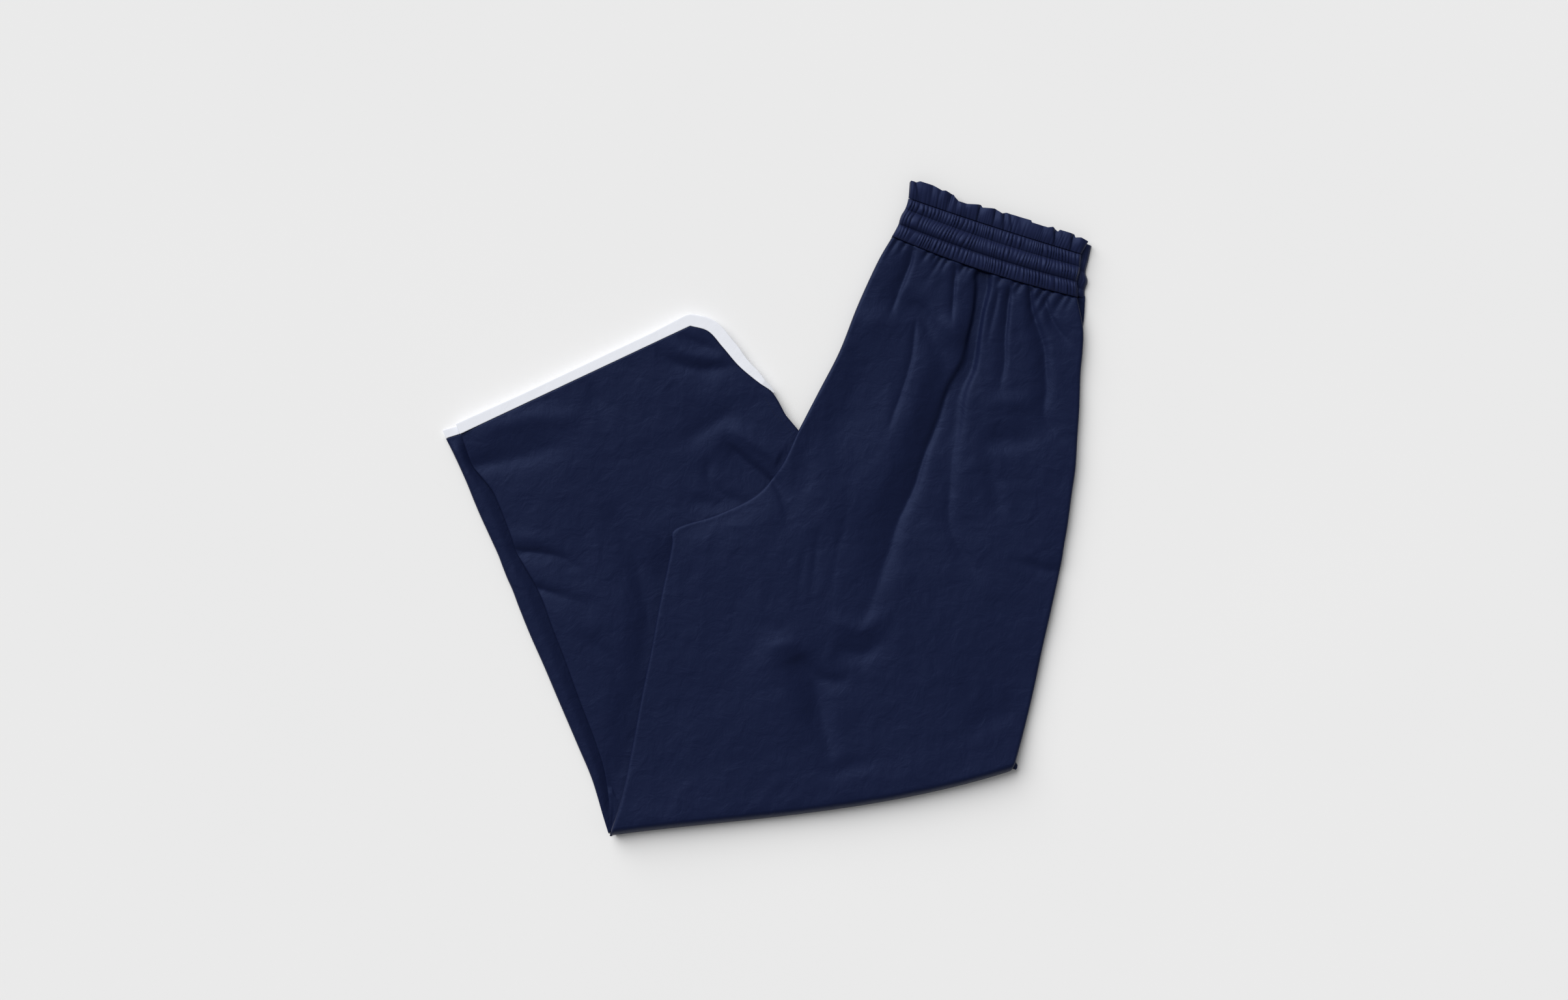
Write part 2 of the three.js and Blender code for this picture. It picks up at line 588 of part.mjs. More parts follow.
// The hidden layers of the lower legs, low under the strip and high under the left leg's panel
const DENT_ROOM = 1.7; // room for the dents of the panel above
const LOWER_LAYERS_TOP = LOWER_TOP - CLOTH - SEAM_GAP - DENT_ROOM;
const LAYERS_STEP = 1.6; // width of the step between the two
const LOWER_LAYER_COLUMNS = [0.25, 0.5, 0.75, 1];
const LOWER_LAYERS_EDGE = [{ inset: 0.4, drop: 0.5 }, { inset: 2, drop: 0 }];

function lowerLayersRow(row) {
  const edge = edgeAt(lowerStrip, LOWER_ROWS.length, row, 1);
  const end = stripEnd(row);
  const far = farAt(row);
  alongEndRow(edge, far.place, row);
  const low = STRIP_TOP - STRIP_CLOTH - SEAM_GAP;
  const foot = end.place.addScaledVector(end.inward, SEAM_GAP);
  const points = LOWER_LAYERS_EDGE.map(({ inset, drop }) => (
    edge.place.clone().addScaledVector(edge.inward, inset).setZ(low - drop)
  ));
  points.push(foot.clone().setZ(low));
  const high = foot.clone().addScaledVector(end.inward, LAYERS_STEP);
  points.push(high.clone().setZ(LOWER_LAYERS_TOP));
  for (const across of LOWER_LAYER_COLUMNS) {
    points.push(high.clone().lerp(far.place, across).setZ(LOWER_LAYERS_TOP));
  }
  return points;
}

const lowerLayersGrid = LOWER_SAMPLES.map(lowerLayersRow);

// Points down the side of the lower hidden layers, as shares of the height, with a groove between
// the two legs
const LOWER_SIDE = [
  { inset: 0.1, share: 0.8 }, { inset: 0.9, share: 0.6 },
  { inset: 0.1, share: 0.42 }, { inset: 0.1, share: 0.2 }, { inset: 0.8, share: 0 },
];

function lowerLayers() {
  const rim = border(lowerLayersGrid);
  const loops = LOWER_SIDE.map(({ inset, share }) => rim.map((point, k) => {
    const before = rim[(k + rim.length - 1) % rim.length];
    const after = rim[(k + 1) % rim.length];
    const inward = turned(after.clone().sub(before).setZ(0)).negate();
    return point.clone().addScaledVector(inward, inset).setZ(point.z * share);
  }));
  return solidUnder(lowerLayersGrid, loops);
}

// The section of a hem binding: shares of its width outwards and of its height
const BINDING_SECTION = [
  { out: 0, up: 0 }, { out: 0, up: 0.95 }, { out: 0.3, up: 1 },
  { out: 0.8, up: 0.89 }, { out: 1, up: 0.5 }, { out: 0.85, up: 0 },
];

// A hem binding beside a row of plan points, from one height to another
function binding(path, bottom, top, narrower) {
  const body = new Body();
  let before = null;
  const sections = path.map((point, k) => {
    const previous = path[Math.max(k - 1, 0)];
    const next = path[Math.min(k + 1, path.length - 1)];
    const outward = turned(next.clone().sub(previous).setZ(0));
    const wide = along(BINDING_WIDTHS, 'width', k / (path.length - 1));
    const width = Math.max(wide - narrower, wide / 2);
    return BINDING_SECTION.map(({ out, up }) => (
      point.clone().addScaledVector(outward, SEAM_GAP + out * width).setZ(lerp(bottom, top, up))
    ));
  });
  const loops = sections.map((section) => body.addAll(section));
  for (const loop of loops) {
    if (before) {
      body.between(before, loop, true);
    }
    before = loop;
  }
  body.fan(loops[0]);
  body.fan([...loops[loops.length - 1]].reverse());
  return body;
}

const BINDING_ROWS = LOWER_SAMPLES.filter((row) => row > 0 && row <= BINDING_LAST_ROW).length;

function bindingPath(grid) {
  const last = grid[0].length - 1;
  return [...grid[0], ...grid.slice(1, BINDING_ROWS + 1).map((row) => row[last])];
}

const leftBinding = () => (
  binding(bindingPath(lowerGrid), STRIP_TOP + BINDING_LIFT, LOWER_TOP + BINDING_LIFT, 0)
);
const rightBinding = () => binding(bindingPath(lowerLayersGrid), 0, STRIP_TOP, BINDING_INSET);

// The waistband

// A row of points between two ends, with a sag, and the place of each between 0 and 1
function straightRow({ left, right, sag }, count) {
  const start = flat(left);
  const end = flat(right);
  const downwards = turned(end.clone().sub(start)).negate();
  return Array.from({ length: count + 1 }, (_, i) => {
    const t = i / count;
    const place = start.clone().lerp(end, t).addScaledVector(downwards, sag * 4 * t * (1 - t));
    return { place, t, i };
  });
}

function roundedEnd(t, length, round) {
  const near = Math.min(1, (Math.min(t, 1 - t) * length) / round);
  return Math.sqrt(1 - (1 - near) ** 2);
}

// Gathers stand a little higher or lower than one another, in a steady irregular pattern
const uneven = (i) => 0.8 + 0.2 * Math.sin(2.7 * i) + 0.12 * Math.sin(0.9 * i + 1);

function waistbandRight() {
  const body = new Body();
  const length = flat(BAND_ROWS[0].left).distanceTo(flat(BAND_ROWS[0].right));
  const grid = BAND_ROWS.map((row) => straightRow(row, 2 * BAND_GATHERS).map(({ place, t, i }) => {
    const gather = row.gather * uneven(i) * (i % 2 === 0 ? 1 : -1);
    const least = BAND_INSIDE + BAND_LEAST;
    return place.setZ(least + (row.top + gather - least) * roundedEnd(t, length, BAND_ROUND));
  }));
  const top = grid.map((row) => body.addAll(row));
  const last = top.length - 1;
  const inside = [0, last].map((j) => body.addAll(grid[j].map((p) => p.clone().setZ(BAND_INSIDE))));
  for (let j = 0; j < last; j += 1) {
    body.between(top[j], top[j + 1]);
  }
  body.between(inside[1], inside[0]);
  body.between(inside[0], top[0]);
  body.between(top[last], inside[1]);
  const end = top[0].length - 1;
  body.fan([inside[0][0], inside[1][0], ...top.map((row) => row[0]).reverse()]);
  body.fan([inside[1][end], inside[0][end], ...top.map((row) => row[end])]);
  return body;
}

function headingRight() {
  const count = HEADING_WAVES * HEADING_STEPS;
  const top = HEADING_ROWS.map((row) => straightRow(row, count).map(({ place, t, i }) => {
    const turn = 2 * Math.PI * (HEADING_WAVES * t + HEADING_DRIFT * Math.sin(HEADING_WAVES * t));
    return place.setZ(HEADING_TOP + row.wave * uneven(i / HEADING_STEPS) * Math.sin(turn));
  }));
  const bottom = top.map((row) => row.map((point) => point.clone().setZ(point.z - HEADING_CLOTH)));
  return wallBetween(top, bottom);
}

function waistbandLeft() {
  const top = BAND_UNDER_ROWS.map((row) => straightRow(row, BAND_UNDER_COLUMNS).map(({ place, t }) => {
    const length = flat(row.left).distanceTo(flat(row.right));
    return place.setZ(row.top * lerp(BAND_UNDER_END, 1, roundedEnd(t, length, 2 * BAND_ROUND)));
  }));
  const bottom = top.map((row) => row.map((point) => point.clone().setZ(0)));
  return wallBetween(top, bottom);
}

const group = new THREE.Group();
group.add(
  upperPanel().mesh('right_back_panel', NAVY, 0.72),
  upperLayers().mesh('upper_layers', NAVY, 0.72),
  lowerPanel().mesh('left_back_panel', NAVY, 0.72),
  lowerStripPanel().mesh('right_front_panel', NAVY, 0.72),
  lowerLayers().mesh('lower_layers', NAVY, 0.72),
  leftBinding().mesh('left_hem_binding', WHITE, 0.8),
  rightBinding().mesh('right_hem_binding', WHITE, 0.8),
  waistbandRight().mesh('right_waistband', NAVY, 0.66),
  headingRight().mesh('right_waistband_heading', NAVY, 0.66),
  waistbandLeft().mesh('left_waistband', NAVY, 0.66),
);

export default group;
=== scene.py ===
# %% [markdown]
# # Folded track pants
# This lesson dresses a plain CAD model of a pair of wide track pants in thin cloth. The pants are
# folded leg on leg and then at the knee, and lie flat on a pale surface. The right leg's back panel
# is on top. The lower legs are tucked under it and point to the upper left, where their white
# bound hems show. The waist, at the upper right, is gathered on elastic in three channels.
# We work in millimetres, as a tailor would, and turn them into metres when a mesh is made.

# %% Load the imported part
import math

import bpy
import numpy as np
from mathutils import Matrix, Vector, noise


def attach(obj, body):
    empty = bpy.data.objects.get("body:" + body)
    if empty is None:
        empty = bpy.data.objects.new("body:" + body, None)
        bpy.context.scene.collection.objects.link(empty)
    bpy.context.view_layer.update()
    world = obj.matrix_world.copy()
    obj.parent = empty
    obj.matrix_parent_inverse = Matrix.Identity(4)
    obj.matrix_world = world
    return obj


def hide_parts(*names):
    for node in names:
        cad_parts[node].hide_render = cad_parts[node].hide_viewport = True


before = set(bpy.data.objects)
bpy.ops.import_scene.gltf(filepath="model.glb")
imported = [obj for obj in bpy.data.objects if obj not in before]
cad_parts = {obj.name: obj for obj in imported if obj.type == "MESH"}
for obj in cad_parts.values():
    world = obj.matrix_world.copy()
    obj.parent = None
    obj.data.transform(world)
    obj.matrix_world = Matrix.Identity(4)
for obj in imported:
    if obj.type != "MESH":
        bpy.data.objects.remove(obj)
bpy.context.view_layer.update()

MM = 0.001
print("solids of the part:", sorted(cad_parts))

# %% [markdown]
# ## Camera, light and floor
# The picture looks straight down, so the camera hangs over the pile and looks along -Z. Its lens
# follows from the width that it has to see at the height of the cloth. One very wide sun from
# the top left gives soft shadows of even strength, and the pale world fills them in.

# %% Camera
VIEW_WIDTH = 1444.8  # mm of the surface across the picture
VIEW_CENTRE = (15.9, 7.8)
CAMERA_HEIGHT = 3200.0
CLOTH_HEIGHT = 9.0
SENSOR = 36.0

camera_data = bpy.data.cameras.new("overhead")
camera_data.sensor_width = SENSOR
camera_data.lens = SENSOR * CAMERA_HEIGHT / VIEW_WIDTH
camera = bpy.data.objects.new("overhead", camera_data)
camera.location = (VIEW_CENTRE[0] * MM, VIEW_CENTRE[1] * MM, (CAMERA_HEIGHT + CLOTH_HEIGHT) * MM)
bpy.context.scene.collection.objects.link(camera)
bpy.context.scene.camera = camera
print("lens", round(camera_data.lens, 1), "mm")

# %% Light
SUN_FROM = (-0.6, 0.82, 0.84)  # from the top left of the picture
SUN_STRENGTH = 3.3
SUN_SOFTNESS = 62  # degrees across
WORLD_STRENGTH = 0.28
WORLD_COLOUR = (0.98, 0.99, 1.0, 1)

sun_data = bpy.data.lights.new("key", "SUN")
sun_data.energy = SUN_STRENGTH
sun_data.angle = math.radians(SUN_SOFTNESS)
sun = bpy.data.objects.new("key", sun_data)
sun.rotation_euler = Vector(SUN_FROM).to_track_quat("Z", "Y").to_euler()
bpy.context.scene.collection.objects.link(sun)

world = bpy.data.worlds.new("studio")
world.use_nodes = True
sky = world.node_tree.nodes["Background"].inputs
sky["Color"].default_value = WORLD_COLOUR
sky["Strength"].default_value = WORLD_STRENGTH
bpy.context.scene.world = world
bpy.context.scene.view_settings.view_transform = "Standard"

# %% [markdown]
# ## Materials
# Each material is made of nodes. The navy cloth is a fine plain weave with a faint crinkle, and
# every panel carries a UV map in metres that is turned with its grain, so the weave runs along
# the leg. A small function adds a node and fills in its inputs, which keeps each recipe short.

# %% Helpers for materials
CLOTH_MAP = "cloth"
THREAD_PITCH = 0.5 * MM


def add_node(tree, kind, inputs=(), **settings):
    made = tree.nodes.new(kind)
    for name, value in settings.items():
        setattr(made, name, value)
    for socket, value in dict(inputs).items():
        if isinstance(value, bpy.types.NodeSocket):
            tree.links.new(value, made.inputs[socket])
        else:
            made.inputs[socket].default_value = value
    return made


def math_node(tree, operation, *values):
    inputs = dict(enumerate(values))
    return add_node(tree, "ShaderNodeMath", inputs, operation=operation).outputs[0]


def noise_node(tree, place, scale, detail=2.0, **more):
    inputs = {"Vector": place, "Scale": scale, "Detail": detail, **more}
    return add_node(tree, "ShaderNodeTexNoise", inputs).outputs["Fac"]


def bump_node(tree, height, strength, distance, below=None):
    """Relief of a height in mm, over the relief below it if there is one."""
    inputs = {"Height": height, "Strength": strength, "Distance": distance * MM}
    if below is not None:
        inputs["Normal"] = below
    return add_node(tree, "ShaderNodeBump", inputs).outputs[0]


def two_colours(tree, share, first, second):
    inputs = {0: share, 6: (*first, 1), 7: (*second, 1)}
    return add_node(tree, "ShaderNodeMix", inputs, data_type="RGBA").outputs[2]


def new_material(name):
    material = bpy.data.materials.new(name)
    material.use_nodes = True
    return material, material.node_tree, material.node_tree.nodes["Principled BSDF"]


def set_surface(tree, shader, colour, roughness, gloss, relief=None):
    tree.links.new(colour, shader.inputs["Base Color"])
    if relief is not None:
        tree.links.new(relief, shader.inputs["Normal"])
    shader.inputs["Roughness"].default_value = roughness
    shader.inputs["Specular IOR Level"].default_value = gloss


def weave_height(tree, place):
    """Over and under of a plain weave, from 0 to 1."""
    split = add_node(tree, "ShaderNodeSeparateXYZ", {0: place})
    waves = []
    for axis in (0, 1):
        turn = math_node(tree, "MULTIPLY", split.outputs[axis], math.pi / THREAD_PITCH)
        waves.append(math_node(tree, "SINE", turn))
    crossed = math_node(tree, "MULTIPLY", *waves)
    return math_node(tree, "MULTIPLY_ADD", crossed, 0.5, 0.5)


# %% [markdown]
# A woven cloth's colour is never quite even: wide, faint clouds come from one noise. The threads
# are also painted a little lighter where they rise, a painted highlight on the crowns of the weave.
# The relief comes in three steps: a wide crinkle from folding and wearing, a finer one, and last
# the threads. Smooth dark cloth shows its folds by its gloss more than by its colour, so the gloss
# of the navy cloth is tinted blue.

# %% Woven cloth
CLOTH_GLOSS = 0.22
NAVY_GLOSS_TINT = (0.42, 0.56, 1.0)
SLUB_SCALE = (900.0, 90.0, 1.0)  # uneven threads, long along the grain


def woven_cloth(name, colour, lighter, roughness, crinkle=1.0, tint=NAVY_GLOSS_TINT):
    material, tree, shader = new_material(name)
    place = add_node(tree, "ShaderNodeUVMap", uv_map=CLOTH_MAP).outputs["UV"]
    weave = weave_height(tree, place)
    clouds = noise_node(tree, place, 14.0, 4.0)
    stretched = add_node(tree, "ShaderNodeMapping", {"Vector": place, "Scale": SLUB_SCALE})
    slubs = noise_node(tree, stretched.outputs[0], 1.0)
    share = math_node(tree, "MULTIPLY", clouds, 0.55)
    share = math_node(tree, "MULTIPLY_ADD", slubs, 0.25, share)
    # painted highlight: the raised threads of the weave are mixed towards the lighter colour
    share = math_node(tree, "MULTIPLY_ADD", weave, 0.2, share)
    wide = noise_node(tree, place, 62.0, 3.0, Roughness=0.55, Distortion=0.6)
    fine = noise_node(tree, place, 260.0, 3.0, Roughness=0.6)
    relief = bump_node(tree, wide, 0.75 * crinkle, 1.1)
    relief = bump_node(tree, fine, 0.6 * crinkle, 0.22, relief)
    relief = bump_node(tree, weave, 0.5, 0.05, relief)
    mixed_colour = two_colours(tree, share, colour, lighter)
    set_surface(tree, shader, mixed_colour, roughness, CLOTH_GLOSS, relief)
    shader.inputs["Specular Tint"].default_value = (*tint, 1)
    return material


NAVY = (0.0042, 0.0067, 0.0280)
NAVY_LIGHTER = (0.0061, 0.0094, 0.0345)
BAND_NAVY = (0.0076, 0.0108, 0.0390)
BAND_NAVY_LIGHTER = (0.0102, 0.0141, 0.0470)
WHITE = (0.785, 0.805, 0.868)
WHITE_LIGHTER = (0.835, 0.85, 0.9)

navy_cloth = woven_cloth("navy_cloth", NAVY, NAVY_LIGHTER, 0.5)
waistband_cloth = woven_cloth("waistband_cloth", BAND_NAVY, BAND_NAVY_LIGHTER, 0.46, 0.35)
hidden_cloth = woven_cloth("hidden_cloth", NAVY, NAVY_LIGHTER, 0.65, 0.6)
white_binding = woven_cloth("white_binding", WHITE, WHITE_LIGHTER, 0.65, 0.4, (1, 1, 1))


# %% [markdown]
# Sewing thread is twisted, which a fine noise in Object coordinates is enough to show. The same
# noise sinks the relief and paints the thread darker there, a painted shade in the grooves of the
# twist. The floor is a plain matt card with hardly any grain.

# %% Thread and floor
def thread(name, colour):
    material, tree, shader = new_material(name)
    place = add_node(tree, "ShaderNodeTexCoord").outputs["Object"]
    twist = noise_node(tree, place, 1800.0, 1.0)
    # painted shade: the thread is darker where the twist's relief sinks
    painted_groove_shade = tuple(0.7 * part for part in colour)
    relief = bump_node(tree, twist, 0.6, 0.1)
    set_surface(tree, shader, two_colours(tree, twist, painted_groove_shade, colour), 0.5, 0.25, relief)
    return material


navy_thread = thread("navy_thread", (0.006, 0.009, 0.030))
white_thread = thread("white_thread", (0.80, 0.81, 0.84))

floor_material, floor_tree, floor_shader = new_material("pale_floor")
floor_place = add_node(floor_tree, "ShaderNodeTexCoord").outputs["Object"]
floor_grain = noise_node(floor_tree, floor_place, 3.0)
floor_colour = two_colours(floor_tree, floor_grain, (0.862, 0.861, 0.859), (0.882, 0.878, 0.875))
set_surface(floor_tree, floor_shader, floor_colour, 0.9, 0.1)

bpy.ops.object.select_all(action="DESELECT")
bpy.ops.mesh.primitive_plane_add(size=12, location=(0, 0, 0))
floor = bpy.context.object
floor.name = "floor"
floor.data.materials.append(floor_material)
print("materials:", [material.name for material in bpy.data.materials])

# %% [markdown]
# ## Curves, grids and sheets
# Cloth that lies folded is easiest to make as a grid of points: rows that run across the piece
# and columns that run down it. A smooth curve through a few table rows gives the two edges, and
# the rows are laid between them. Numpy works on all the points of a grid at once.

# %% Curves
CRISPNESS = 4


def curve(points, places):
    """Points of a smooth curve through a table's points, where place 0 is the first of them."""
    table = np.array(points, float)
    table = np.vstack([2 * table[0] - table[1], table, 2 * table[-1] - table[-2]])
    places = np.asarray(places, float)
    first = np.clip(np.floor(places).astype(int), 0, len(points) - 2)
    w = (places - first)[..., None]
    a, b, c, d = (table[first + step] for step in range(4))
    ab, bc, cd = (
        np.sqrt(np.linalg.norm(q - p, axis=-1, keepdims=True)) for p, q in ((a, b), (b, c), (c, d))
    )
    start = bc * ((b - a) / ab - (c - a) / (ab + bc) + (c - b) / bc)
    end = bc * ((c - b) / bc - (d - b) / (bc + cd) + (d - c) / cd)
    squared = 3 * (c - b) - 2 * start - end
    cubed = 2 * (b - c) + start + end
    return b + start * w + squared * w**2 + cubed * w**3


def unit(vectors):
    return vectors / np.maximum(np.linalg.norm(vectors, axis=-1, keepdims=True), 1e-9)


def turned(vectors):
    """Level vectors turned a quarter to the left."""
    return np.stack([-vectors[..., 1], vectors[..., 0]], -1)


def edge(points, places, side):
    """Places on an edge curve and the level direction into the cloth from there."""
    step = 0.02
    tangent = curve(points, places + step) - curve(points, places - step)
    return curve(points, places), side * turned(unit(tangent))


def crisp(turn):
    """Height share over a fold that stays flat nearly to its edge: 1 on the flat, 0 at the edge."""
    return np.maximum(0, 1 - turn**CRISPNESS) ** (1 / CRISPNESS)


def smooth(value, low, high):
    t = np.clip((value - low) / (high - low), 0, 1)
    return t * t * (3 - 2 * t)


def mixed(a, b, share):
    return a + (b - a) * share


def column(table, name, rows):
    return np.interp(rows, np.arange(len(table)), [row[name] for row in table])


def line_lengths(line):
    """How far along a line each of its points is."""
    return np.concatenate([[0], np.cumsum(np.linalg.norm(np.diff(line, axis=0), axis=1))])


def even_steps(line, count):
    """A line again, as a number of points at even steps."""
    lengths = line_lengths(line)
    places = np.linspace(0, lengths[-1], count)
    return np.stack([np.interp(places, lengths, part) for part in line.T], -1)


def with_height(plan, height):
    """Points from their places in the plan and their heights."""
    return np.concatenate([plan, height[..., None]], -1)


# %% Uneven waves
def uneven(x, y, size, seed, ridged=False):
    """Smooth random waves between -1 and 1 at places in mm, always the same ones for a seed."""
    spots = zip(np.ravel(x) / size, np.ravel(y) / size)
    waves = np.array([noise.noise(Vector((u, v, seed))) for u, v in spots]).reshape(np.shape(x))
    return 1 - 2 * np.abs(waves) if ridged else waves


# %% [markdown]
# A crease is a line of stations, each with its place, its half widths at the left and right hand
# of a walker along it, and its depth. A narrow side is a steep wall and a wide one a slow slope,
# and a depth below zero is a ridge. The shape says how sharp the line is: 2 is round, near 1 a
# pressed fold.

# %% Creases
CREASE_STEPS = 6


def crease(name, shape, stations):
    return dict(name=name, shape=shape, stations=stations)


def crease_depth(plan, creases, wider=1.0):
    total = np.zeros(plan.shape[:-1])
    for one in creases:
        stations = np.array(one["stations"], float)
        count = (len(stations) - 1) * CREASE_STEPS + 1
        line = curve(stations, np.linspace(0, len(stations) - 1, count))
        nearest = np.full(total.shape, np.inf)
        share = np.zeros(total.shape)
        for start, end in zip(line[:-1], line[1:]):
            along = end[:2] - start[:2]
            offset = plan - start[:2]
            t = np.clip((offset @ along) / (along @ along), 0, 1)
            away = offset - t[..., None] * along
            distance = np.linalg.norm(away, axis=-1)
            left = along[0] * away[..., 1] - along[1] * away[..., 0] > 0
            left_width, right_width, depth = (mixed(start[k], end[k], t) for k in (2, 3, 4))
            width = wider * np.where(left, left_width, right_width)
            closer = distance < nearest
            profile = depth * np.exp(-((distance / width) ** one["shape"]))
            share = np.where(closer, profile, share)
            nearest = np.where(closer, distance, nearest)
        total += share
    return total


# %% [markdown]
# A grid becomes a mesh with one quad for each cell. The UV map holds the place on the flat cloth,
# turned so that one axis runs along the grain. Solidify then gives the sheet its thickness on
# the inside, so the face that shows stays where it was made.

# %% Sheets
def make_piece(name, points, faces, uv, material):
    """A smooth mesh of points in mm, with a place on the cloth in metres for each point."""
    mesh = bpy.data.meshes.new(name)
    mesh.from_pydata((points * MM).tolist(), [], [list(face) for face in faces])
    layer = mesh.uv_layers.new(name=CLOTH_MAP)
    corners = np.zeros(len(mesh.loops), int)
    mesh.loops.foreach_get("vertex_index", corners)
    layer.data.foreach_set("uv", uv[corners].astype(np.float32).ravel())
    mesh.materials.append(material)
    mesh.shade_smooth()
    mesh.validate()
    piece = bpy.data.objects.new(name, mesh)
    bpy.context.scene.collection.objects.link(piece)
    return piece


def cells(rows, columns, first=0):
    index = first + np.arange(rows * columns).reshape(rows, columns)
    corners = [index[:-1, :-1], index[1:, :-1], index[1:, 1:], index[:-1, 1:]]
    return np.stack(corners, -1).reshape(-1, 4).tolist()


def grain_map(points, grain):
    """Places on the cloth in metres, from the plan, with the second axis along the grain."""
    turn = math.radians(grain)
    x, y = points[:, 0] * MM, points[:, 1] * MM
    sine, cosine = math.sin(turn), math.cos(turn)
    return np.stack([x * sine - y * cosine, x * cosine + y * sine], -1)


def finish_with(piece, kind, **settings):
    """Adds a modifier and applies it at once."""
    bpy.ops.object.select_all(action="DESELECT")
    piece.select_set(True)
    bpy.context.view_layer.objects.active = piece
    modifier = piece.modifiers.new(kind.lower(), kind)
    for name, value in settings.items():
        setattr(modifier, name, value)
    bpy.ops.object.modifier_apply(modifier=modifier.name)


def cloth_sheet(name, grid, material, grain, wall):
    points = grid.reshape(-1, 3)
    piece = make_piece(name, points, cells(*grid.shape[:2]), grain_map(points, grain), material)
    finish_with(piece, "SOLIDIFY", thickness=wall * MM, offset=-1)
    return piece


def sheet_area(grid):
    """Area of a grid of points in square metres."""
    crossed = np.cross(grid[1:, 1:] - grid[:-1, :-1], grid[1:, :-1] - grid[:-1, 1:])
    return float(np.linalg.norm(crossed, axis=-1).sum() / 2 * MM * MM)


def dress(piece, slot, *nodes):
    """The piece goes with the one body of the part, and stands for the named solids."""
    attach(piece, "root")
    if nodes:
        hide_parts(*nodes)
    triangles = sum(len(face.vertices) - 2 for face in piece.data.polygons)
    print(f"{piece.name}: {triangles} triangles")


# %% [markdown]
# ## The back panel of the right leg
# This is the big panel on top, from the seam of the waistband to the fold at the knee. Its left
# edge is the rise, the crotch and the inseam, and its right edge the side seam. The rows of the
# table follow those of the solid part. The pile is higher where it lies over the lower legs.

# %% Rows of the upper panel
FOLD_LOW = 1.4  # where the cloth goes down to the surface
OUTER_LOW = 4.8  # where the side seam ends above the left leg's edge
OVER_LEGS_LOW = 8.6  # where it lies over the lower legs
UPPER_ROUND = 5  # how far in from its edge the cloth starts to turn down
FOLD_ROUND = 9  # and from the knee fold
KNEE_LEAN = 1.5  # puts the lowest place of the sagging rows at the knee further right
CORNER_ROW = 6  # the row at the corner between the upper part and the lower legs

UPPER_ROWS = [
    dict(inner=(115.5, 250.4), outer=(286.5, 194.2), sag=4, low=FOLD_LOW),
    dict(inner=(104.7, 232.2), outer=(291.9, 165), sag=4, low=FOLD_LOW),
    dict(inner=(93.9, 210), outer=(291.3, 144.6), sag=3, low=FOLD_LOW),
    dict(inner=(82.5, 184.2), outer=(289.5, 125.4), sag=2, low=FOLD_LOW),
    dict(inner=(66.9, 144.6), outer=(288.3, 91.8), sag=1, low=FOLD_LOW),
    dict(inner=(47.7, 107.4), outer=(286.5, 65.4), sag=0, low=3.5),
    dict(inner=(28.5, 70.2), outer=(284.7, 36.6), sag=0, low=OVER_LEGS_LOW),
    dict(inner=(12.3, 37.8), outer=(281.7, 15.6), sag=0, low=OVER_LEGS_LOW),
    dict(inner=(-8.7, 13.2), outer=(279.3, -2.4), sag=0, low=OVER_LEGS_LOW),
    dict(inner=(-45.3, -5.4), outer=(277.5, -15.6), sag=0, low=OVER_LEGS_LOW),
    dict(inner=(-86.4, -20.7), outer=(273.9, -36.6), sag=0, low=OVER_LEGS_LOW),
    dict(inner=(-87.6, -33.0), outer=(272.4, -46.5), sag=0, low=OVER_LEGS_LOW),
    dict(inner=(-99.9, -93), outer=(261.9, -95.4), sag=0, low=OVER_LEGS_LOW),
    dict(inner=(-106.8, -130.8), outer=(254.1, -129.6), sag=1, low=OVER_LEGS_LOW),
    dict(inner=(-114.9, -170.4), outer=(247.5, -161.4), sag=2, low=OVER_LEGS_LOW),
    dict(inner=(-123.9, -218.4), outer=(239.1, -197.4), sag=5, low=OVER_LEGS_LOW),
    dict(inner=(-133.5, -264), outer=(233.1, -220.4), sag=8, low=OVER_LEGS_LOW),
    dict(inner=(-145.5, -302.4), outer=(227, -242), sag=9.5, low=FOLD_LOW),
]
UPPER_LAST = len(UPPER_ROWS) - 1
LAST_FLAT_ROW = UPPER_LAST - 0.4
upper_inner = [row["inner"] for row in UPPER_ROWS]
upper_outer = [row["outer"] for row in UPPER_ROWS]


# %% [markdown]
# A row is laid between two edges. Its first and last columns turn down over a rounded edge: their
# turn is 1 at the very edge and 0 on the flat. Near a row that ends the panel the columns keep
# along that row, so that it stays straight.

# %% Laying rows between two edges
def columns_between(count, turns, rounded_outer=True):
    """Side, turn and place across of each column."""
    angles = np.linspace(0, math.pi / 2, turns)
    inner = [(-1, math.cos(angle), 0.0) for angle in angles]
    outer = [(1, math.cos(angle), 1.0) for angle in angles[::-1]] if rounded_outer else []
    middle = [(0, 0.0, across) for across in np.linspace(0, 1, count + 2)[1:]]
    if rounded_outer:
        middle = middle[:-1]
    return np.array(inner + middle + outer)


def along_end_row(places, inward, towards, rows_away):
    share = (1 - smooth(rows_away, 0, 1.5))[:, None]
    return unit(mixed(inward, unit(towards - places), share))


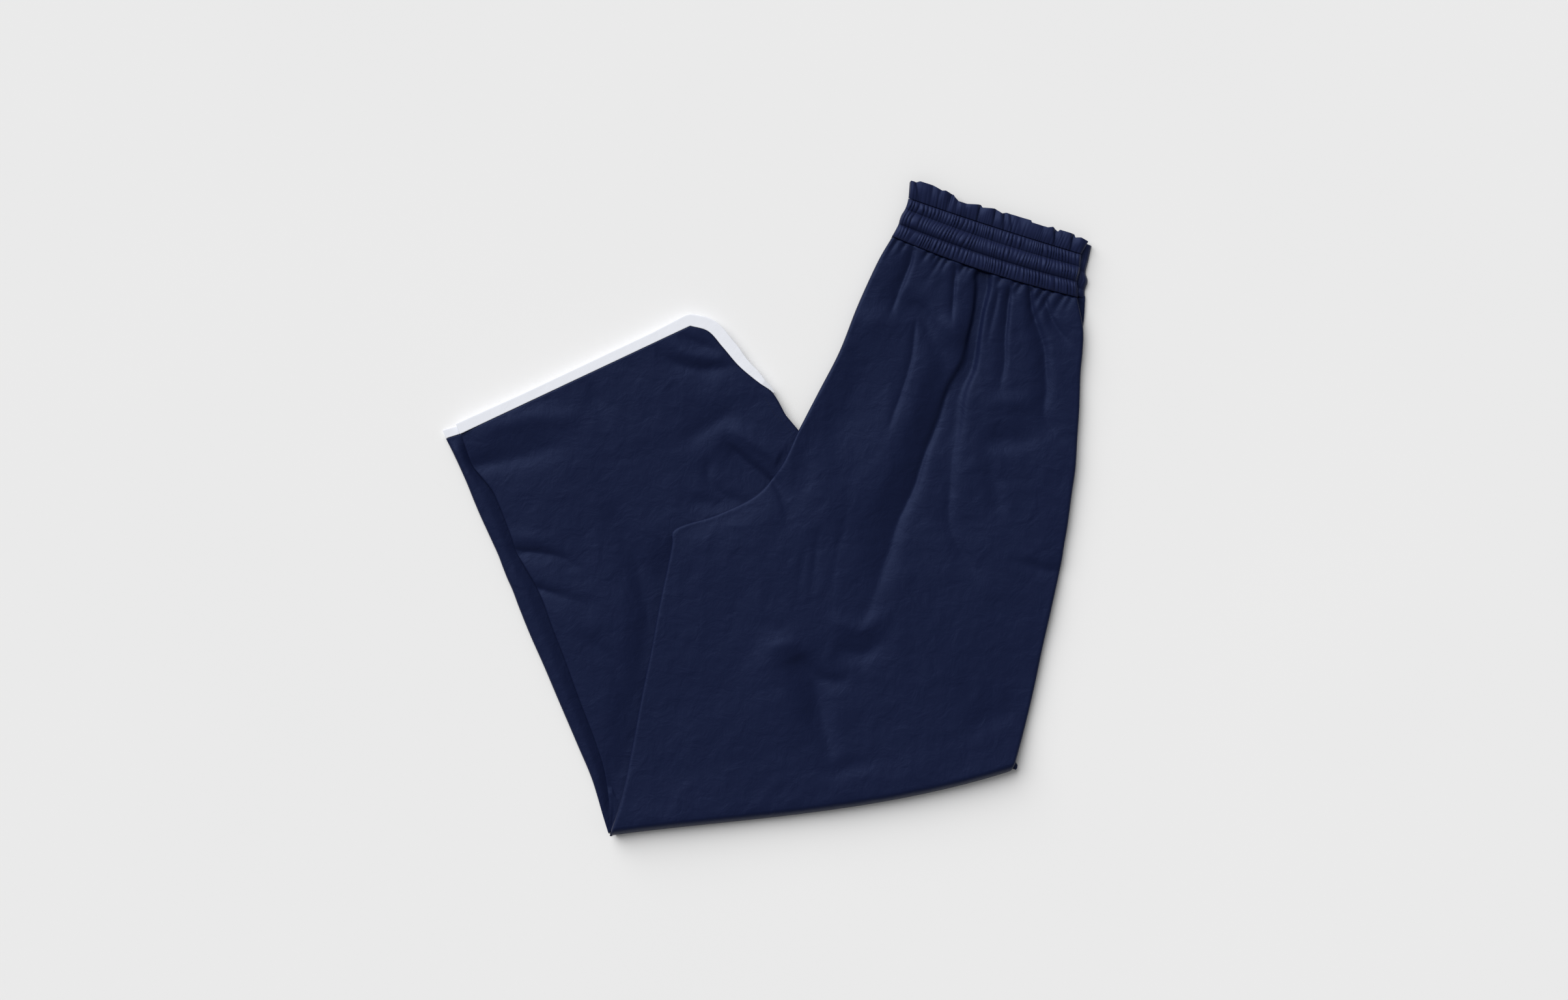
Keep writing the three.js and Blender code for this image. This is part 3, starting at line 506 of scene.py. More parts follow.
def lay_rows(inner, outer, columns, aside, round_inner, round_outer, sag, lean=None):
    """The plan of a grid. Inner and outer are places and inward directions, a pair for each row."""
    (start, start_in), (end, end_in) = inner, outer
    side, across = columns[:, 0], columns[:, 2]
    round_inner = np.broadcast_to(round_inner, (len(start), 1))
    first = (start + start_in * round_inner)[:, None]
    last = (end + end_in * round_outer)[:, None]
    plan = mixed(first, last, across[None, :, None])
    near = start[:, None] + start_in[:, None] * (round_inner * (1 - aside))[..., None]
    far = end[:, None] + end_in[:, None] * (round_outer * (1 - aside))[..., None]
    plan = np.where((side < 0)[None, :, None], near, plan)
    plan = np.where((side > 0)[None, :, None], far, plan)
    width = np.linalg.norm(end - start, axis=-1)[:, None]
    t = np.linalg.norm(plan - start[:, None], axis=-1) / width
    if lean is not None:
        t = t ** lean[:, None]
    downwards = -turned(unit((last - first)[:, 0]))[:, None]
    return plan + downwards * (sag[:, None] * 4 * t * (1 - t))[..., None]


# %% [markdown]
# The creases below were placed from the picture. A deep valley with a flat bottom runs down from
# the waist right of the middle, between a broad slope on its left and a small groove on its right.
# Thin folds flank it, a dent lies above the knee, and soft hollows and ridges cross the rest. Small
# puckers hang from the waist seam, where the fulness of the leg is sewn into the band.

# %% Creases of the upper panel
UPPER_CREASES = [
    # name, shape, and stations: x, y, half widths at the left and the right hand, depth
    crease("pleat beside the middle", 3.6, [
        (200, 216, 7, 7, 5.8), (199.5, 204.6, 6.2, 6.2, 6.6), (195.3, 180.6, 4.4, 4.4, 6.9),
        (190.8, 156.6, 5.2, 5.2, 6.6), (186.3, 132.6, 6.2, 6.2, 6.1), (175, 108.6, 8, 8, 5.5),
        (167.7, 78.6, 10.5, 10.5, 4.2), (158.7, 48.6, 13.5, 13.5, 3.1), (152.7, 18.6, 17, 17, 2),
        (147, -11.4, 22, 22, 0.9), (146, -30, 26, 26, 0.1),
    ]),
    crease("its left foot", 1.2, [
        (193.5, 212, 1.8, 5, 2.2), (193.3, 204.6, 1.8, 5, 2.6), (191.1, 180.6, 1.8, 5, 2.6),
        (185.7, 156.6, 1.8, 6, 2.6), (179.4, 132.6, 2, 10, 3), (167.1, 108.6, 2.2, 12, 3.8),
        (157.5, 78.6, 2.6, 15, 4.7), (145.5, 48.6, 3, 18, 5), (135.9, 18.6, 4, 19, 5),
        (121.5, -11.4, 6, 19, 4.2), (111.9, -41.4, 8, 20, 3.5), (103, -68, 8, 18, 2.3),
        (94, -92, 8, 15, 1.1), (84, -110, 8, 12, 0.1),
    ]),
    crease("its right foot", 1.3, [
        (205.5, 204.6, 3.4, 3, 0.9), (199.5, 180.6, 3.4, 3, 1.1), (195.9, 156.6, 3.4, 3.2, 1.1),
        (192.3, 132.6, 3.6, 3.4, 1.2), (182.7, 108.6, 4, 4, 1.4), (177.9, 78.6, 4.5, 5, 1.7),
        (171.9, 48.6, 5, 5, 1.9), (169.5, 18.6, 5, 6, 2), (168, -11.4, 6, 8, 2),
        (180.3, -41.4, 7, 9, 1.9), (192, -56, 8, 9, 1.4), (206, -66, 8, 8, 0.1),
    ]),
    crease("knife fold right of it", 1.4, [
        (224.2, 200, 1.6, 3, 2.6), (222.9, 188, 1.6, 6, 3.5), (222, 178, 1.6, 7, 3.7),
        (219.9, 156.6, 1.8, 7, 3), (219.5, 132.6, 2, 6, 2.1), (214, 108, 3, 5, 0.2),
    ]),
    crease("short fold between", 1.4, [
        (213.5, 200.1, 2, 3, 1.4), (211.9, 190.1, 2, 4, 1.7), (207, 170.1, 3, 4, 1.2),
        (203, 150, 3, 4, 0.2),
    ]),
    crease("broad fold near the side", 1.5, [
        (242.7, 203, 1.8, 3, 2.6), (244.5, 184.6, 3, 4, 3.5), (250, 166.6, 4, 7, 3.8),
        (255.4, 149.5, 4, 8, 3.8), (257, 130, 4, 8, 3.5), (258, 111.3, 5, 8, 2.9),
        (256, 86.8, 6, 7, 2.1), (266, 70.4, 6, 6, 1), (278, 60, 6, 6, 0.2),
    ]),
    crease("folds near the side", 1.5, [
        (257, 192, 2, 4, 1.9), (261, 178.9, 2.5, 5, 2.4), (270, 163.1, 3, 6, 1.9),
        (280, 152, 4, 6, 0.5),
    ]),
    crease("step near the rise", 1.3, [
        (135, 238, 2, 5, 2.2), (132.4, 225.9, 2, 6, 3.5), (125.6, 208.4, 2, 7, 3.2),
        (117.4, 188, 2.5, 7, 1.9), (113, 176, 4, 6, 0.2),
    ]),
    crease("thin fold left of the middle", 1.3, [
        (174.5, 220.7, 1.6, 3, 1.9), (173.3, 208, 1.6, 3.5, 2.4), (172.1, 190, 1.6, 3.5, 2.1),
        (170.6, 171.3, 2, 3, 0.2),
    ]),
    crease("fine crease left of the middle", 1.3, [
        (137.5, 175, 2, 2, 0.2), (136.5, 163.2, 1.8, 3, 1.4), (133.8, 138.6, 1.8, 4, 1.8),
        (124.2, 105.9, 1.8, 4, 1.8), (117, 86, 2, 4, 1.3), (112, 70.4, 2, 3, 0.2),
    ]),
    crease("bump beside the pleat", 2, [
        (160, 180, 9, 9, -0.4), (170, 168, 9, 9, -2.3), (177, 160, 7, 9, -1.8),
        (180, 150, 6, 8, -0.2),
    ]),
    crease("slope under the bump", 2, [
        (140, 186, 8, 9, 0.5), (146, 172, 8, 9, 2.2), (154, 156, 8, 9, 2.3), (164, 136, 8, 9, 1.6),
        (160, 112, 8, 8, 0.2),
    ]),
    crease("hollow under the waist", 2, [
        (118, 196, 8, 8, 0.2), (130, 186, 9, 9, 1.9), (144, 182, 8, 9, 1.5), (154, 184, 8, 8, 0.2),
    ]),
    crease("ridge beside the rise", 2, [
        (84, 176, 14, 14, -0.5), (98, 172, 14, 14, -2), (114, 168, 12, 14, -1.4),
        (126, 160, 10, 12, -0.2),
    ]),
    crease("broad hollow beside the rise", 2, [
        (88, 150, 20, 22, 0.5), (86, 122, 26, 22, 2.9), (80, 98, 28, 22, 3.4),
        (66, 74, 26, 20, 2.4), (50, 46, 24, 20, 0.3),
    ]),
    crease("ridge left of the pleat", 2, [
        (150, 150, 10, 14, -0.5), (142, 120, 10, 14, -1.8), (132, 84, 12, 16, -2),
        (118, 50, 14, 16, -1.6), (100, 14, 14, 16, -1.3), (88, -20, 14, 16, -0.2),
    ]),
    crease("roll along the crotch edge", 1.8, [
        (-92, -26, 9, 9, 0.5), (-70, -15, 12, 13, 2), (-40, -3, 13, 16, 2.6),
        (-14, 9, 14, 15, 2.4), (4, 24, 12, 12, 1.6), (20, 50, 8, 9, 0.2),
    ]),
    crease("crease from the crotch", 1.4, [
        (3.8, 30.6, 5, 4, 2.4), (12.8, 14.5, 8, 4, 2.7), (18.4, -2.4, 9, 5, 1.9),
        (24, -24.9, 10, 8, 0.2),
    ]),
    crease("hollow inside the crotch", 2, [
        (36, 62, 12, 10, 0.8), (34, 42, 12, 10, 1.7), (30, 20, 12, 10, 1.5), (30, -2, 12, 10, 0.2),
    ]),
    crease("ridge over the dent", 1.8, [
        (-10, -126, 8, 9, -0.2), (4, -127, 8, 8, -1.8), (18, -125, 8, 8, -2.2),
        (34, -124, 8, 8, -0.5),
    ]),
    crease("slope into the dent", 1.9, [
        (-16, -122, 14, 14, -0.1), (-6, -130, 18, 16, -0.9), (5, -144, 22, 20, -2.4),
        (17, -170, 22, 22, -2.9), (28, -196, 18, 20, -2.4), (42, -214, 12, 16, -1.1),
        (54, -232, 9, 12, -0.1),
    ]),
    crease("dent above the knee", 1.7, [
        (28, -134, 9, 18, 0.3), (31, -141, 10, 20, 3.4), (42, -158, 10, 20, 4.2),
        (50, -189, 9, 17, 3.9), (57, -219, 7, 9, 1.7), (61, -234, 6, 6, 0.1),
    ]),
    crease("ridge over the middle folds", 1.8, [
        (58, -100, 8, 8, -0.2), (70, -106, 8, 8, -1.6), (84, -111, 8, 8, -1.6),
        (104, -102, 8, 8, -1.3), (116, -92, 8, 8, -0.2),
    ]),
    crease("middle fold", 1.7, [
        (58, -128, 9, 9, 0.2), (72, -132, 9, 10, 2), (88, -134, 9, 10, 2.4),
        (102, -126, 9, 10, 1.5), (112, -114, 8, 9, 0.2),
    ]),
    crease("small fold above the dent", 1.7, [
        (44, -150, 6, 7, 0.2), (54, -157, 6, 8, 1.5), (66, -159, 6, 8, 1.5), (80, -152, 6, 7, 0.2),
    ]),
    crease("crease from the side seam", 1.5, [
        (223.9, -48, 4, 5, 0.2), (240, -51, 4, 6, 1.4), (254, -56, 4, 6, 1.9),
        (270, -58, 4, 6, 1.9),
    ]),
    crease("ridge above the side hollow", 2, [
        (196, 92, 9, 9, -0.2), (212, 97, 9, 9, -1.4), (232, 98, 9, 9, -1.4), (248, 92, 9, 9, -0.2),
    ]),
    crease("side hollow", 2, [
        (196, 70, 11, 9, 0.2), (208, 62, 13, 9, 2), (228, 62, 13, 10, 2.2), (248, 68, 12, 10, 1),
        (262, 70, 10, 9, 0.2),
    ]),
    crease("fold below the side hollow", 1.8, [
        (204, 48, 6, 8, 0.5), (208, 28, 6, 9, 1.5), (214, 4, 6, 9, 1.2), (224, -18, 6, 8, 0.2),
    ]),
    crease("fine crease in the middle", 1.5, [
        (50.2, -9.9, 3, 3, 0.1), (45.8, -36.1, 3, 4, 0.7), (42.8, -66.1, 3, 4, 0.6),
        (40.5, -92.4, 3, 4, 0.1),
    ]),
    crease("fine crease right of that", 1.5, [
        (69, -17.4, 3, 4, 0.1), (63.8, -43.6, 3, 4, 0.6), (58.9, -73.6, 3, 4, 0.1),
    ]),
    crease("fine crease left of that", 1.5, [
        (38.2, -24.9, 3, 4, 0.1), (32.6, -54.9, 3, 4, 0.6), (28.9, -84.9, 3, 4, 0.1),
    ]),
    crease("fine crease above them", 1.5, [
        (79.5, 12.6, 4, 4, 0.1), (72, -9.9, 4, 4, 0.5), (67.5, -36.1, 4, 4, 0.1),
    ]),
    crease("soft fold at the knee", 2, [
        (49.5, -246.1, 8, 8, 0.2), (79.5, -236.1, 9, 9, 1.4), (113.2, -230.4, 9, 9, 0.2),
    ]),
    crease("soft fold at the knee corner", 2, [
        (177, -212.4, 10, 9, 0.2), (203.2, -194.9, 12, 10, 1.4), (233.2, -180.9, 10, 9, 0.3),
    ]),
]
PUCKERS = [  # place along the waist seam, reach down the leg, half width and depth
    dict(at=0.03, reach=14, width=2.2, depth=1.8), dict(at=0.075, reach=10, width=1.8, depth=1.5),
    dict(at=0.20, reach=9, width=1.8, depth=2.3), dict(at=0.245, reach=8, width=1.6, depth=1.8),
    dict(at=0.275, reach=15, width=2.0, depth=2.6), dict(at=0.31, reach=12, width=1.8, depth=2.3),
    dict(at=0.40, reach=11, width=2.0, depth=2.8), dict(at=0.43, reach=7, width=1.6, depth=1.8),
    dict(at=0.485, reach=12, width=1.8, depth=2.3), dict(at=0.52, reach=10, width=1.7, depth=2.6),
    dict(at=0.60, reach=9, width=1.7, depth=2.0), dict(at=0.67, reach=8, width=1.6, depth=2.0),
    dict(at=0.705, reach=12, width=1.9, depth=2.3), dict(at=0.775, reach=8, width=1.6, depth=1.8),
    dict(at=0.82, reach=17, width=2.0, depth=2.6), dict(at=0.865, reach=28, width=2.0, depth=2.0),
    dict(at=0.93, reach=16, width=2.2, depth=2.3), dict(at=0.97, reach=12, width=2.0, depth=1.5),
]


# %% [markdown]
# Now the height of the cloth: the top of the pile, less the creases and puckers, and a soft
# crumple all over. At the rounded edges this height sinks to where the edge ends.

# %% Height of the upper panel
PILE_OVER_LEGS = 15.0
PILE_ALONE = 9.4
PILE_SLOPE = 70  # how wide the slope between them is
KNEE_PUFF = 1.6  # the folded cloth at the knee stands up a little
KNEE_PUFF_REACH = 55
PUCKER_SHAPE = 1.6
PUCKER_SLANT = 0.25
CRUMPLES = [  # size, height and seed of each set of uneven waves, and whether it is ridged
    dict(size=75, height=0.8, seed=1.5, ridged=False),
    dict(size=34, height=0.45, seed=4.5, ridged=False),
    dict(size=24, height=0.3, seed=7.5, ridged=True),
    dict(size=11, height=0.14, seed=9.5, ridged=True),
]


def distance_from_line(start, end, plan):
    start, end = np.array(start), np.array(end)
    return (plan - start) @ turned(unit(end - start))


def pile_top(plan):
    beside = distance_from_line(upper_inner[CORNER_ROW], upper_outer[UPPER_LAST], plan)
    alone = smooth(beside, -0.4 * PILE_SLOPE, 0.6 * PILE_SLOPE)
    from_fold = distance_from_line(upper_inner[UPPER_LAST], upper_outer[UPPER_LAST], plan)
    puff = KNEE_PUFF * (1 - smooth(from_fold, 0, KNEE_PUFF_REACH))
    return mixed(PILE_OVER_LEGS, PILE_ALONE, alone) + puff


def crumple(plan, share=1.0):
    x, y = plan[..., 0], plan[..., 1]
    waves = [
        wave["height"] * uneven(x, y, wave["size"], wave["seed"], wave["ridged"])
        for wave in CRUMPLES
    ]
    return share * sum(waves)


def pucker_depth(plan):
    seam_start, seam_end = np.array(upper_inner[0]), np.array(upper_outer[0])
    along = unit(seam_end - seam_start)
    length = np.linalg.norm(seam_end - seam_start)
    offset = plan - seam_start
    down = np.maximum(0, -(offset @ turned(along)) - 2)
    place = (offset @ along + PUCKER_SLANT * down) / length
    depth = np.zeros(place.shape)
    for pucker in PUCKERS:
        sunk = down / pucker["reach"]
        width = pucker["width"] * (1 + 0.5 * down / pucker["reach"])
        away = (place - pucker["at"]) * length / width
        depth += pucker["depth"] * np.exp(-(sunk**2)) * np.exp(-np.abs(away) ** PUCKER_SHAPE)
    return depth


# %% The upper panel's sheet
PANEL_WALL = 0.55
UPPER_LEAST = 3.4  # creases go no lower than this
HIDDEN_LEAST = 2.0  # and the layers below the panel no lower than this
HIDDEN_ROOM = 1.0  # how much lower than the panel those layers are
HIDDEN_WIDER = 1.6  # how much wider its creases are in them
UPPER_FINE_ROWS = 215
UPPER_FINE_COLUMNS = 156
EDGE_TURNS = 9
LEG_GRAIN = 72  # degrees, along the upper leg


def upper_grid(row_count, column_count, turns, hidden=False):
    columns = columns_between(column_count, turns)
    angles = np.linspace(math.pi / 2, 0, turns)[1:]
    rows = np.concatenate([np.linspace(0, LAST_FLAT_ROW, row_count), np.full(turns, UPPER_LAST)])
    fold_turn = np.concatenate([np.zeros(row_count), [0], np.cos(angles)])
    turn = columns[None, :, 1]
    down = fold_turn[:, None] * np.sqrt(1 - turn**2 / 2)
    aside = turn * np.sqrt(1 - fold_turn[:, None] ** 2 / 2)
    back = np.where(rows[:, None] == UPPER_LAST, FOLD_ROUND * (1 - down), 0)
    last_rows = [np.subtract(line[-1], line[-2]) for line in (upper_inner, upper_outer)]
    spans = [np.linalg.norm(last_row) for last_row in last_rows]
    plan = np.zeros((*down.shape, 2))
    sag = column(UPPER_ROWS, "sag", rows)
    lean = np.where(rows > UPPER_LAST / 2, KNEE_LEAN, 1.0)
    rows_away = np.minimum(rows, UPPER_LAST - rows)
    for k in range(len(columns)):
        inner, inner_in = edge(upper_inner, rows - back[:, k] / spans[0], 1)
        outer, outer_in = edge(upper_outer, rows - back[:, k] / spans[1], -1)
        inner_in = along_end_row(inner, inner_in, outer, rows_away)
        outer_in = along_end_row(outer, outer_in, inner, rows_away)
        one = lay_rows(
            (inner, inner_in), (outer, outer_in), columns[k : k + 1], aside[:, k : k + 1],
            UPPER_ROUND, UPPER_ROUND, sag, lean,
        )
        plan[:, k] = one[:, 0]
    lift = crisp(np.minimum(1, aside)) * np.sqrt(np.maximum(0, 1 - down**2))
    side_low = mixed(column(UPPER_ROWS, "low", rows)[:, None], OUTER_LOW, columns[None, :, 2])
    low = mixed(side_low, FOLD_LOW, fold_turn[:, None])
    top = pile_top(plan)
    if hidden:
        top = top - HIDDEN_ROOM - np.maximum(0, crease_depth(plan, UPPER_CREASES, HIDDEN_WIDER))
        top = np.maximum(top - pucker_depth(plan), HIDDEN_LEAST)
    else:
        top = top - crease_depth(plan, UPPER_CREASES) - pucker_depth(plan)
        top = np.maximum(top, UPPER_LEAST) + crumple(plan)
    return with_height(plan, low + (top - low) * lift)


upper = upper_grid(UPPER_FINE_ROWS, UPPER_FINE_COLUMNS, EDGE_TURNS)
right_back = cloth_sheet("right_back_cloth", upper, navy_cloth, LEG_GRAIN, PANEL_WALL)
dress(right_back, "navy_cloth", "right_back_panel")
print("upper panel", round(sheet_area(upper), 4), "square metres")
print("its highest place", round(upper[..., 2].max(), 1), "mm")

# %% [markdown]
# ## The hidden layers of the upper part
# Under the panel lie three more layers of cloth. They never show as sheets, only as edges: at the
# side seam the left leg's two layers stand out under the right leg's, with a groove between them.
# One closed body with a layered side stands for them, flat underneath where it rests.

# %% Sides of hidden layers
SIDE_STEPS = 11
CORE_TUCK = 5.6
LEFT_LEG_SHOWS = 8  # how far the left leg stands out at the waist, below LEFT_LEG_TOP
LEFT_LEG_TOP = 4.2
LAYERS_UNDER = 1.2  # how far the hidden layers lie inside the panel

SIDE_ON_FLOOR = [(2.6, 1.2), (2.8, 0.8), (3.0, 0.3), (3.4, 0.0)]
SIDE_OVER_LEFT_LEG = [
    (2.7, 4.3), (1.6, 4.25), (0.6, 3.9), (0.2, 3.1), (0.5, 2.45), (1.3, 2.2), (0.5, 1.95),
    (0.1, 1.2), (0.5, 0.4), (1.6, 0.0),
]
SIDE_OVER_LOWER_LEGS = [
    (2.7, 8.2), (4.5, 8.1), (CORE_TUCK, 7.8), (CORE_TUCK, 3.0), (CORE_TUCK, 0.0),
]


def rim_of(grid):
    return np.concatenate([grid[0], grid[1:-1, -1], grid[-1, ::-1], grid[1:-1, 0][::-1]])


def rim_inward(rim):
    along = np.roll(rim, -1, axis=0) - np.roll(rim, 1, axis=0)
    return -turned(unit(along[:, :2]))


def moved_in(grid, distance):
    """A grid moved in, square to its surface, and level with it at its border."""
    down = np.gradient(grid, axis=0)
    across = np.gradient(grid, axis=1)
    normal = unit(np.cross(down, across))
    border = np.zeros(grid.shape[:2], bool)
    border[:, 0] = border[:, -1] = border[-1] = True
    normal[border, 2] = 0
    return grid - unit(normal) * distance


def layered_body(name, top, loops, material, grain):
    """A closed body from a grid, loops down its side, and a flat face of the same cells."""
    rows, columns = top.shape[:2]
    index = np.arange(rows * columns).reshape(rows, columns)
    points = [top.reshape(-1, 3)]
    faces = cells(rows, columns)
    rim = rim_of(index[..., None])[:, 0]
    above, first = rim, rows * columns
    for loop in loops[:-1]:
        below = np.arange(first, first + len(loop))
        faces += np.stack([above, np.roll(above, -1), np.roll(below, -1), below], -1).tolist()
        points.append(loop)
        above = below
        first += len(loop)
    base = top.copy()
    base[..., 2] = 0
    base.reshape(-1, 3)[rim] = loops[-1]
    points.append(base.reshape(-1, 3))
    faces += np.array(cells(rows, columns, first))[:, ::-1].tolist()
    below = first + rim
    faces += np.stack([above, np.roll(above, -1), np.roll(below, -1), below], -1).tolist()
    points = np.concatenate(points)
    return make_piece(name, points, faces, grain_map(points, grain), material)


# %% The hidden layers of the upper part
CORE_ROWS = 70

core_panel = upper_grid(CORE_ROWS, 48, 5, hidden=True)
core_rows, core_columns = core_panel.shape[:2]
core_top = moved_in(core_panel, LAYERS_UNDER)
core_rim = rim_of(core_panel)
core_inward = rim_inward(core_rim)
row_index, column_index = np.indices((core_rows, core_columns))
rim_row = rim_of(row_index[..., None])[:, 0]
rim_column = rim_of(column_index[..., None])[:, 0]
at_outer = (rim_column == core_columns - 1) & (rim_row < core_rows - 1)
at_waist = rim_row == 0
full_low = np.where(at_outer, OUTER_LOW, OVER_LEGS_LOW)
on_side = at_outer | (rim_column == 0)
side_share = np.where(on_side, (core_rim[:, 2] - FOLD_LOW) / (full_low - FOLD_LOW), 0)
row_of_rim = rim_row / (CORE_ROWS - 1) * LAST_FLAT_ROW
shows = LEFT_LEG_SHOWS * np.maximum(0, 1 - row_of_rim)
front = at_waist & ~at_outer & (rim_column > 0)

floor_side, leg_side, lower_side = (
    even_steps(np.array(table), SIDE_STEPS)
    for table in (SIDE_ON_FLOOR, SIDE_OVER_LEFT_LEG, SIDE_OVER_LOWER_LEGS)
)
core_loops = []
for step in range(SIDE_STEPS):
    side = np.where(at_outer[:, None], leg_side[step], lower_side[step])
    level = mixed(floor_side[step], side, side_share[:, None])
    stands_out = np.where(at_outer & (leg_side[step, 1] < LEFT_LEG_TOP), shows, 0)
    layer_seed = 3.0 + 2.0 * (step > SIDE_STEPS // 2)
    wander = 0.35 * uneven(core_rim[:, 0], core_rim[:, 1], 22, layer_seed)
    inset = level[:, 0] - stands_out + np.where(at_outer, wander, 0)
    place = core_rim[:, :2] + core_inward * inset[:, None]
    front_height = core_top[0][rim_column, 2] * (1 - (step + 1) / SIDE_STEPS)
    place = np.where(front[:, None], core_top[0][rim_column, :2], place)
    core_loops.append(with_height(place, np.where(front, front_height, level[:, 1])))

upper_layers = layered_body("upper_layers_cloth", core_top, core_loops, hidden_cloth, LEG_GRAIN)
dress(upper_layers, "hidden_cloth", "upper_layers")

# %% [markdown]
# ## The lower legs
# Below the knee fold the stack is turned over: the left leg's back panel lies on top, and beside
# it a strip of the right leg's front panel shows, a little lower. The table gives, from the hem
# down to the knee, the strip's edge, the left leg's edge, and the far end of each row, which is
# on the outseam or goes under a row of the upper panel.

# %% Rows of the lower legs
LOWER_TOP = 8.0
LOWER_LOW = 3.95
LOWER_ROUND = 4.5
STRIP_TOP = 3.4
STRIP_LOW = 2.1
STRIP_ROUND = 4
STRIP_CREST = 5.3  # the strip's outer edge stands up as a roll
STRIP_DIP = 3.5  # how far the strip sinks towards the leg that lies on it
STRIP_UNDER = 12  # how far it goes under that leg, or this share of the row
STRIP_SHARE = 0.6
ROUND_SHARE = 0.4  # no rounded edge takes more of a row than this
TUCK = 4.8  # how far the lower leg goes under the edge of the pile, and so at the knee
LAST_TUCK = 1.4
KNEE_ROW = 17
KNEE_SINK = 3.3  # how much the left leg sinks for each row past that one, and so the strip
STRIP_SINK = 1.3

LOWER_ROWS = [
    dict(strip=(-296.1, 64.2), edge=(-282.3, 68.4), far=(-70.5, 168)),
    dict(strip=(-290, 52), edge=(-277.5, 54.5), far=(-54.3, 163.2)),
    dict(strip=(-283, 37), edge=(-271.5, 39.5), far=(-40.5, 148.2)),
    dict(strip=(-277, 23.4), edge=(-263.5, 29), far=(-25.5, 130.8)),
    dict(strip=(-270, 6), edge=(-253.5, 16.5), far=(-7.5, 115.8)),
    dict(strip=(-264, -8), edge=(-246.3, 1), far=(5.7, 106.2)),
    dict(strip=(-258.5, -20), edge=(-240.5, -14), far=(17.7, 85.8)),
    dict(strip=(-253, -32), edge=(-235.5, -27.5), under=6),
    dict(strip=(-248, -43), edge=(-231.2, -40), under=7),
    dict(strip=(-243.5, -55), edge=(-225.5, -50.5), under=8),
    dict(strip=(-239.5, -65), edge=(-219.8, -60), under=9),
    dict(strip=(-235, -75), edge=(-213.9, -70.2), under=10),
    dict(strip=(-229, -91), edge=(-207.5, -84), under=11),
    dict(strip=(-218.5, -117), edge=(-196.5, -114), under=12),
    dict(strip=(-206.5, -144), edge=(-186, -141), under=13),
    dict(strip=(-192.5, -177), edge=(-174, -174), under=14),
    dict(strip=(-174.5, -219), edge=(-158.1, -216), under=15),
    dict(strip=(-161.5, -250), edge=(-149.7, -243), under=16),
    dict(strip=(-151, -285), edge=(-145.6, -275), under=16.5),
    dict(strip=(-146.4, -300), edge=(-145.2, -298.5), under=17),
]
lower_strip = [row["strip"] for row in LOWER_ROWS]
lower_edge = [row["edge"] for row in LOWER_ROWS]
lower_far = [row["far"] for row in LOWER_ROWS if "far" in row]
LAST_FAR_ROW = len(lower_far) - 1


def past_knee(rows):
    """From 0 at the row where the legs start to turn into the knee fold to 2 at its corner."""
    return np.maximum(0, rows - KNEE_ROW)


def far_at(rows):
    """The far end of each row and the direction back along the row."""
    on_seam, seam_in = edge(lower_far, np.minimum(rows, LAST_FAR_ROW), -1)
    past = past_knee(rows)
    under = LOWER_ROWS[LAST_FAR_ROW + 1]["under"] - LAST_FAR_ROW - 1
    below_seam = np.maximum(rows, LAST_FAR_ROW + 1)
    upper_rows = np.minimum(below_seam, KNEE_ROW) + under + past / 2
    covered, covered_in = edge(upper_inner, upper_rows, 1)
    covered = covered + covered_in * mixed(TUCK, LAST_TUCK, np.minimum(past, 1))[:, None]
    blend = np.clip(rows - LAST_FAR_ROW, 0, 1)[:, None]
    return mixed(on_seam, covered, blend), unit(mixed(seam_in, -covered_in, blend))


def lower_plan(rows, column_count, turns, side_line, far, far_in, most_round):
    """The plan of a grid between a side line and far ends, and what its height needs."""
    columns = columns_between(column_count, turns, rounded_outer=False)
    near, near_in = edge(side_line, rows, 1)
    near_in = along_end_row(near, near_in, far, rows)
    turn = np.repeat(columns[None, :, 1], len(rows), 0)
    width = np.linalg.norm(far - near, axis=-1)
    rounded = np.minimum(most_round, ROUND_SHARE * width)[:, None]
    sag = np.zeros(len(rows))
    plan = lay_rows((near, near_in), (far, far_in), columns, turn, rounded, 0, sag)
    from_near = np.linalg.norm(plan - near[:, None], axis=-1)
    return plan, turn, width, from_near


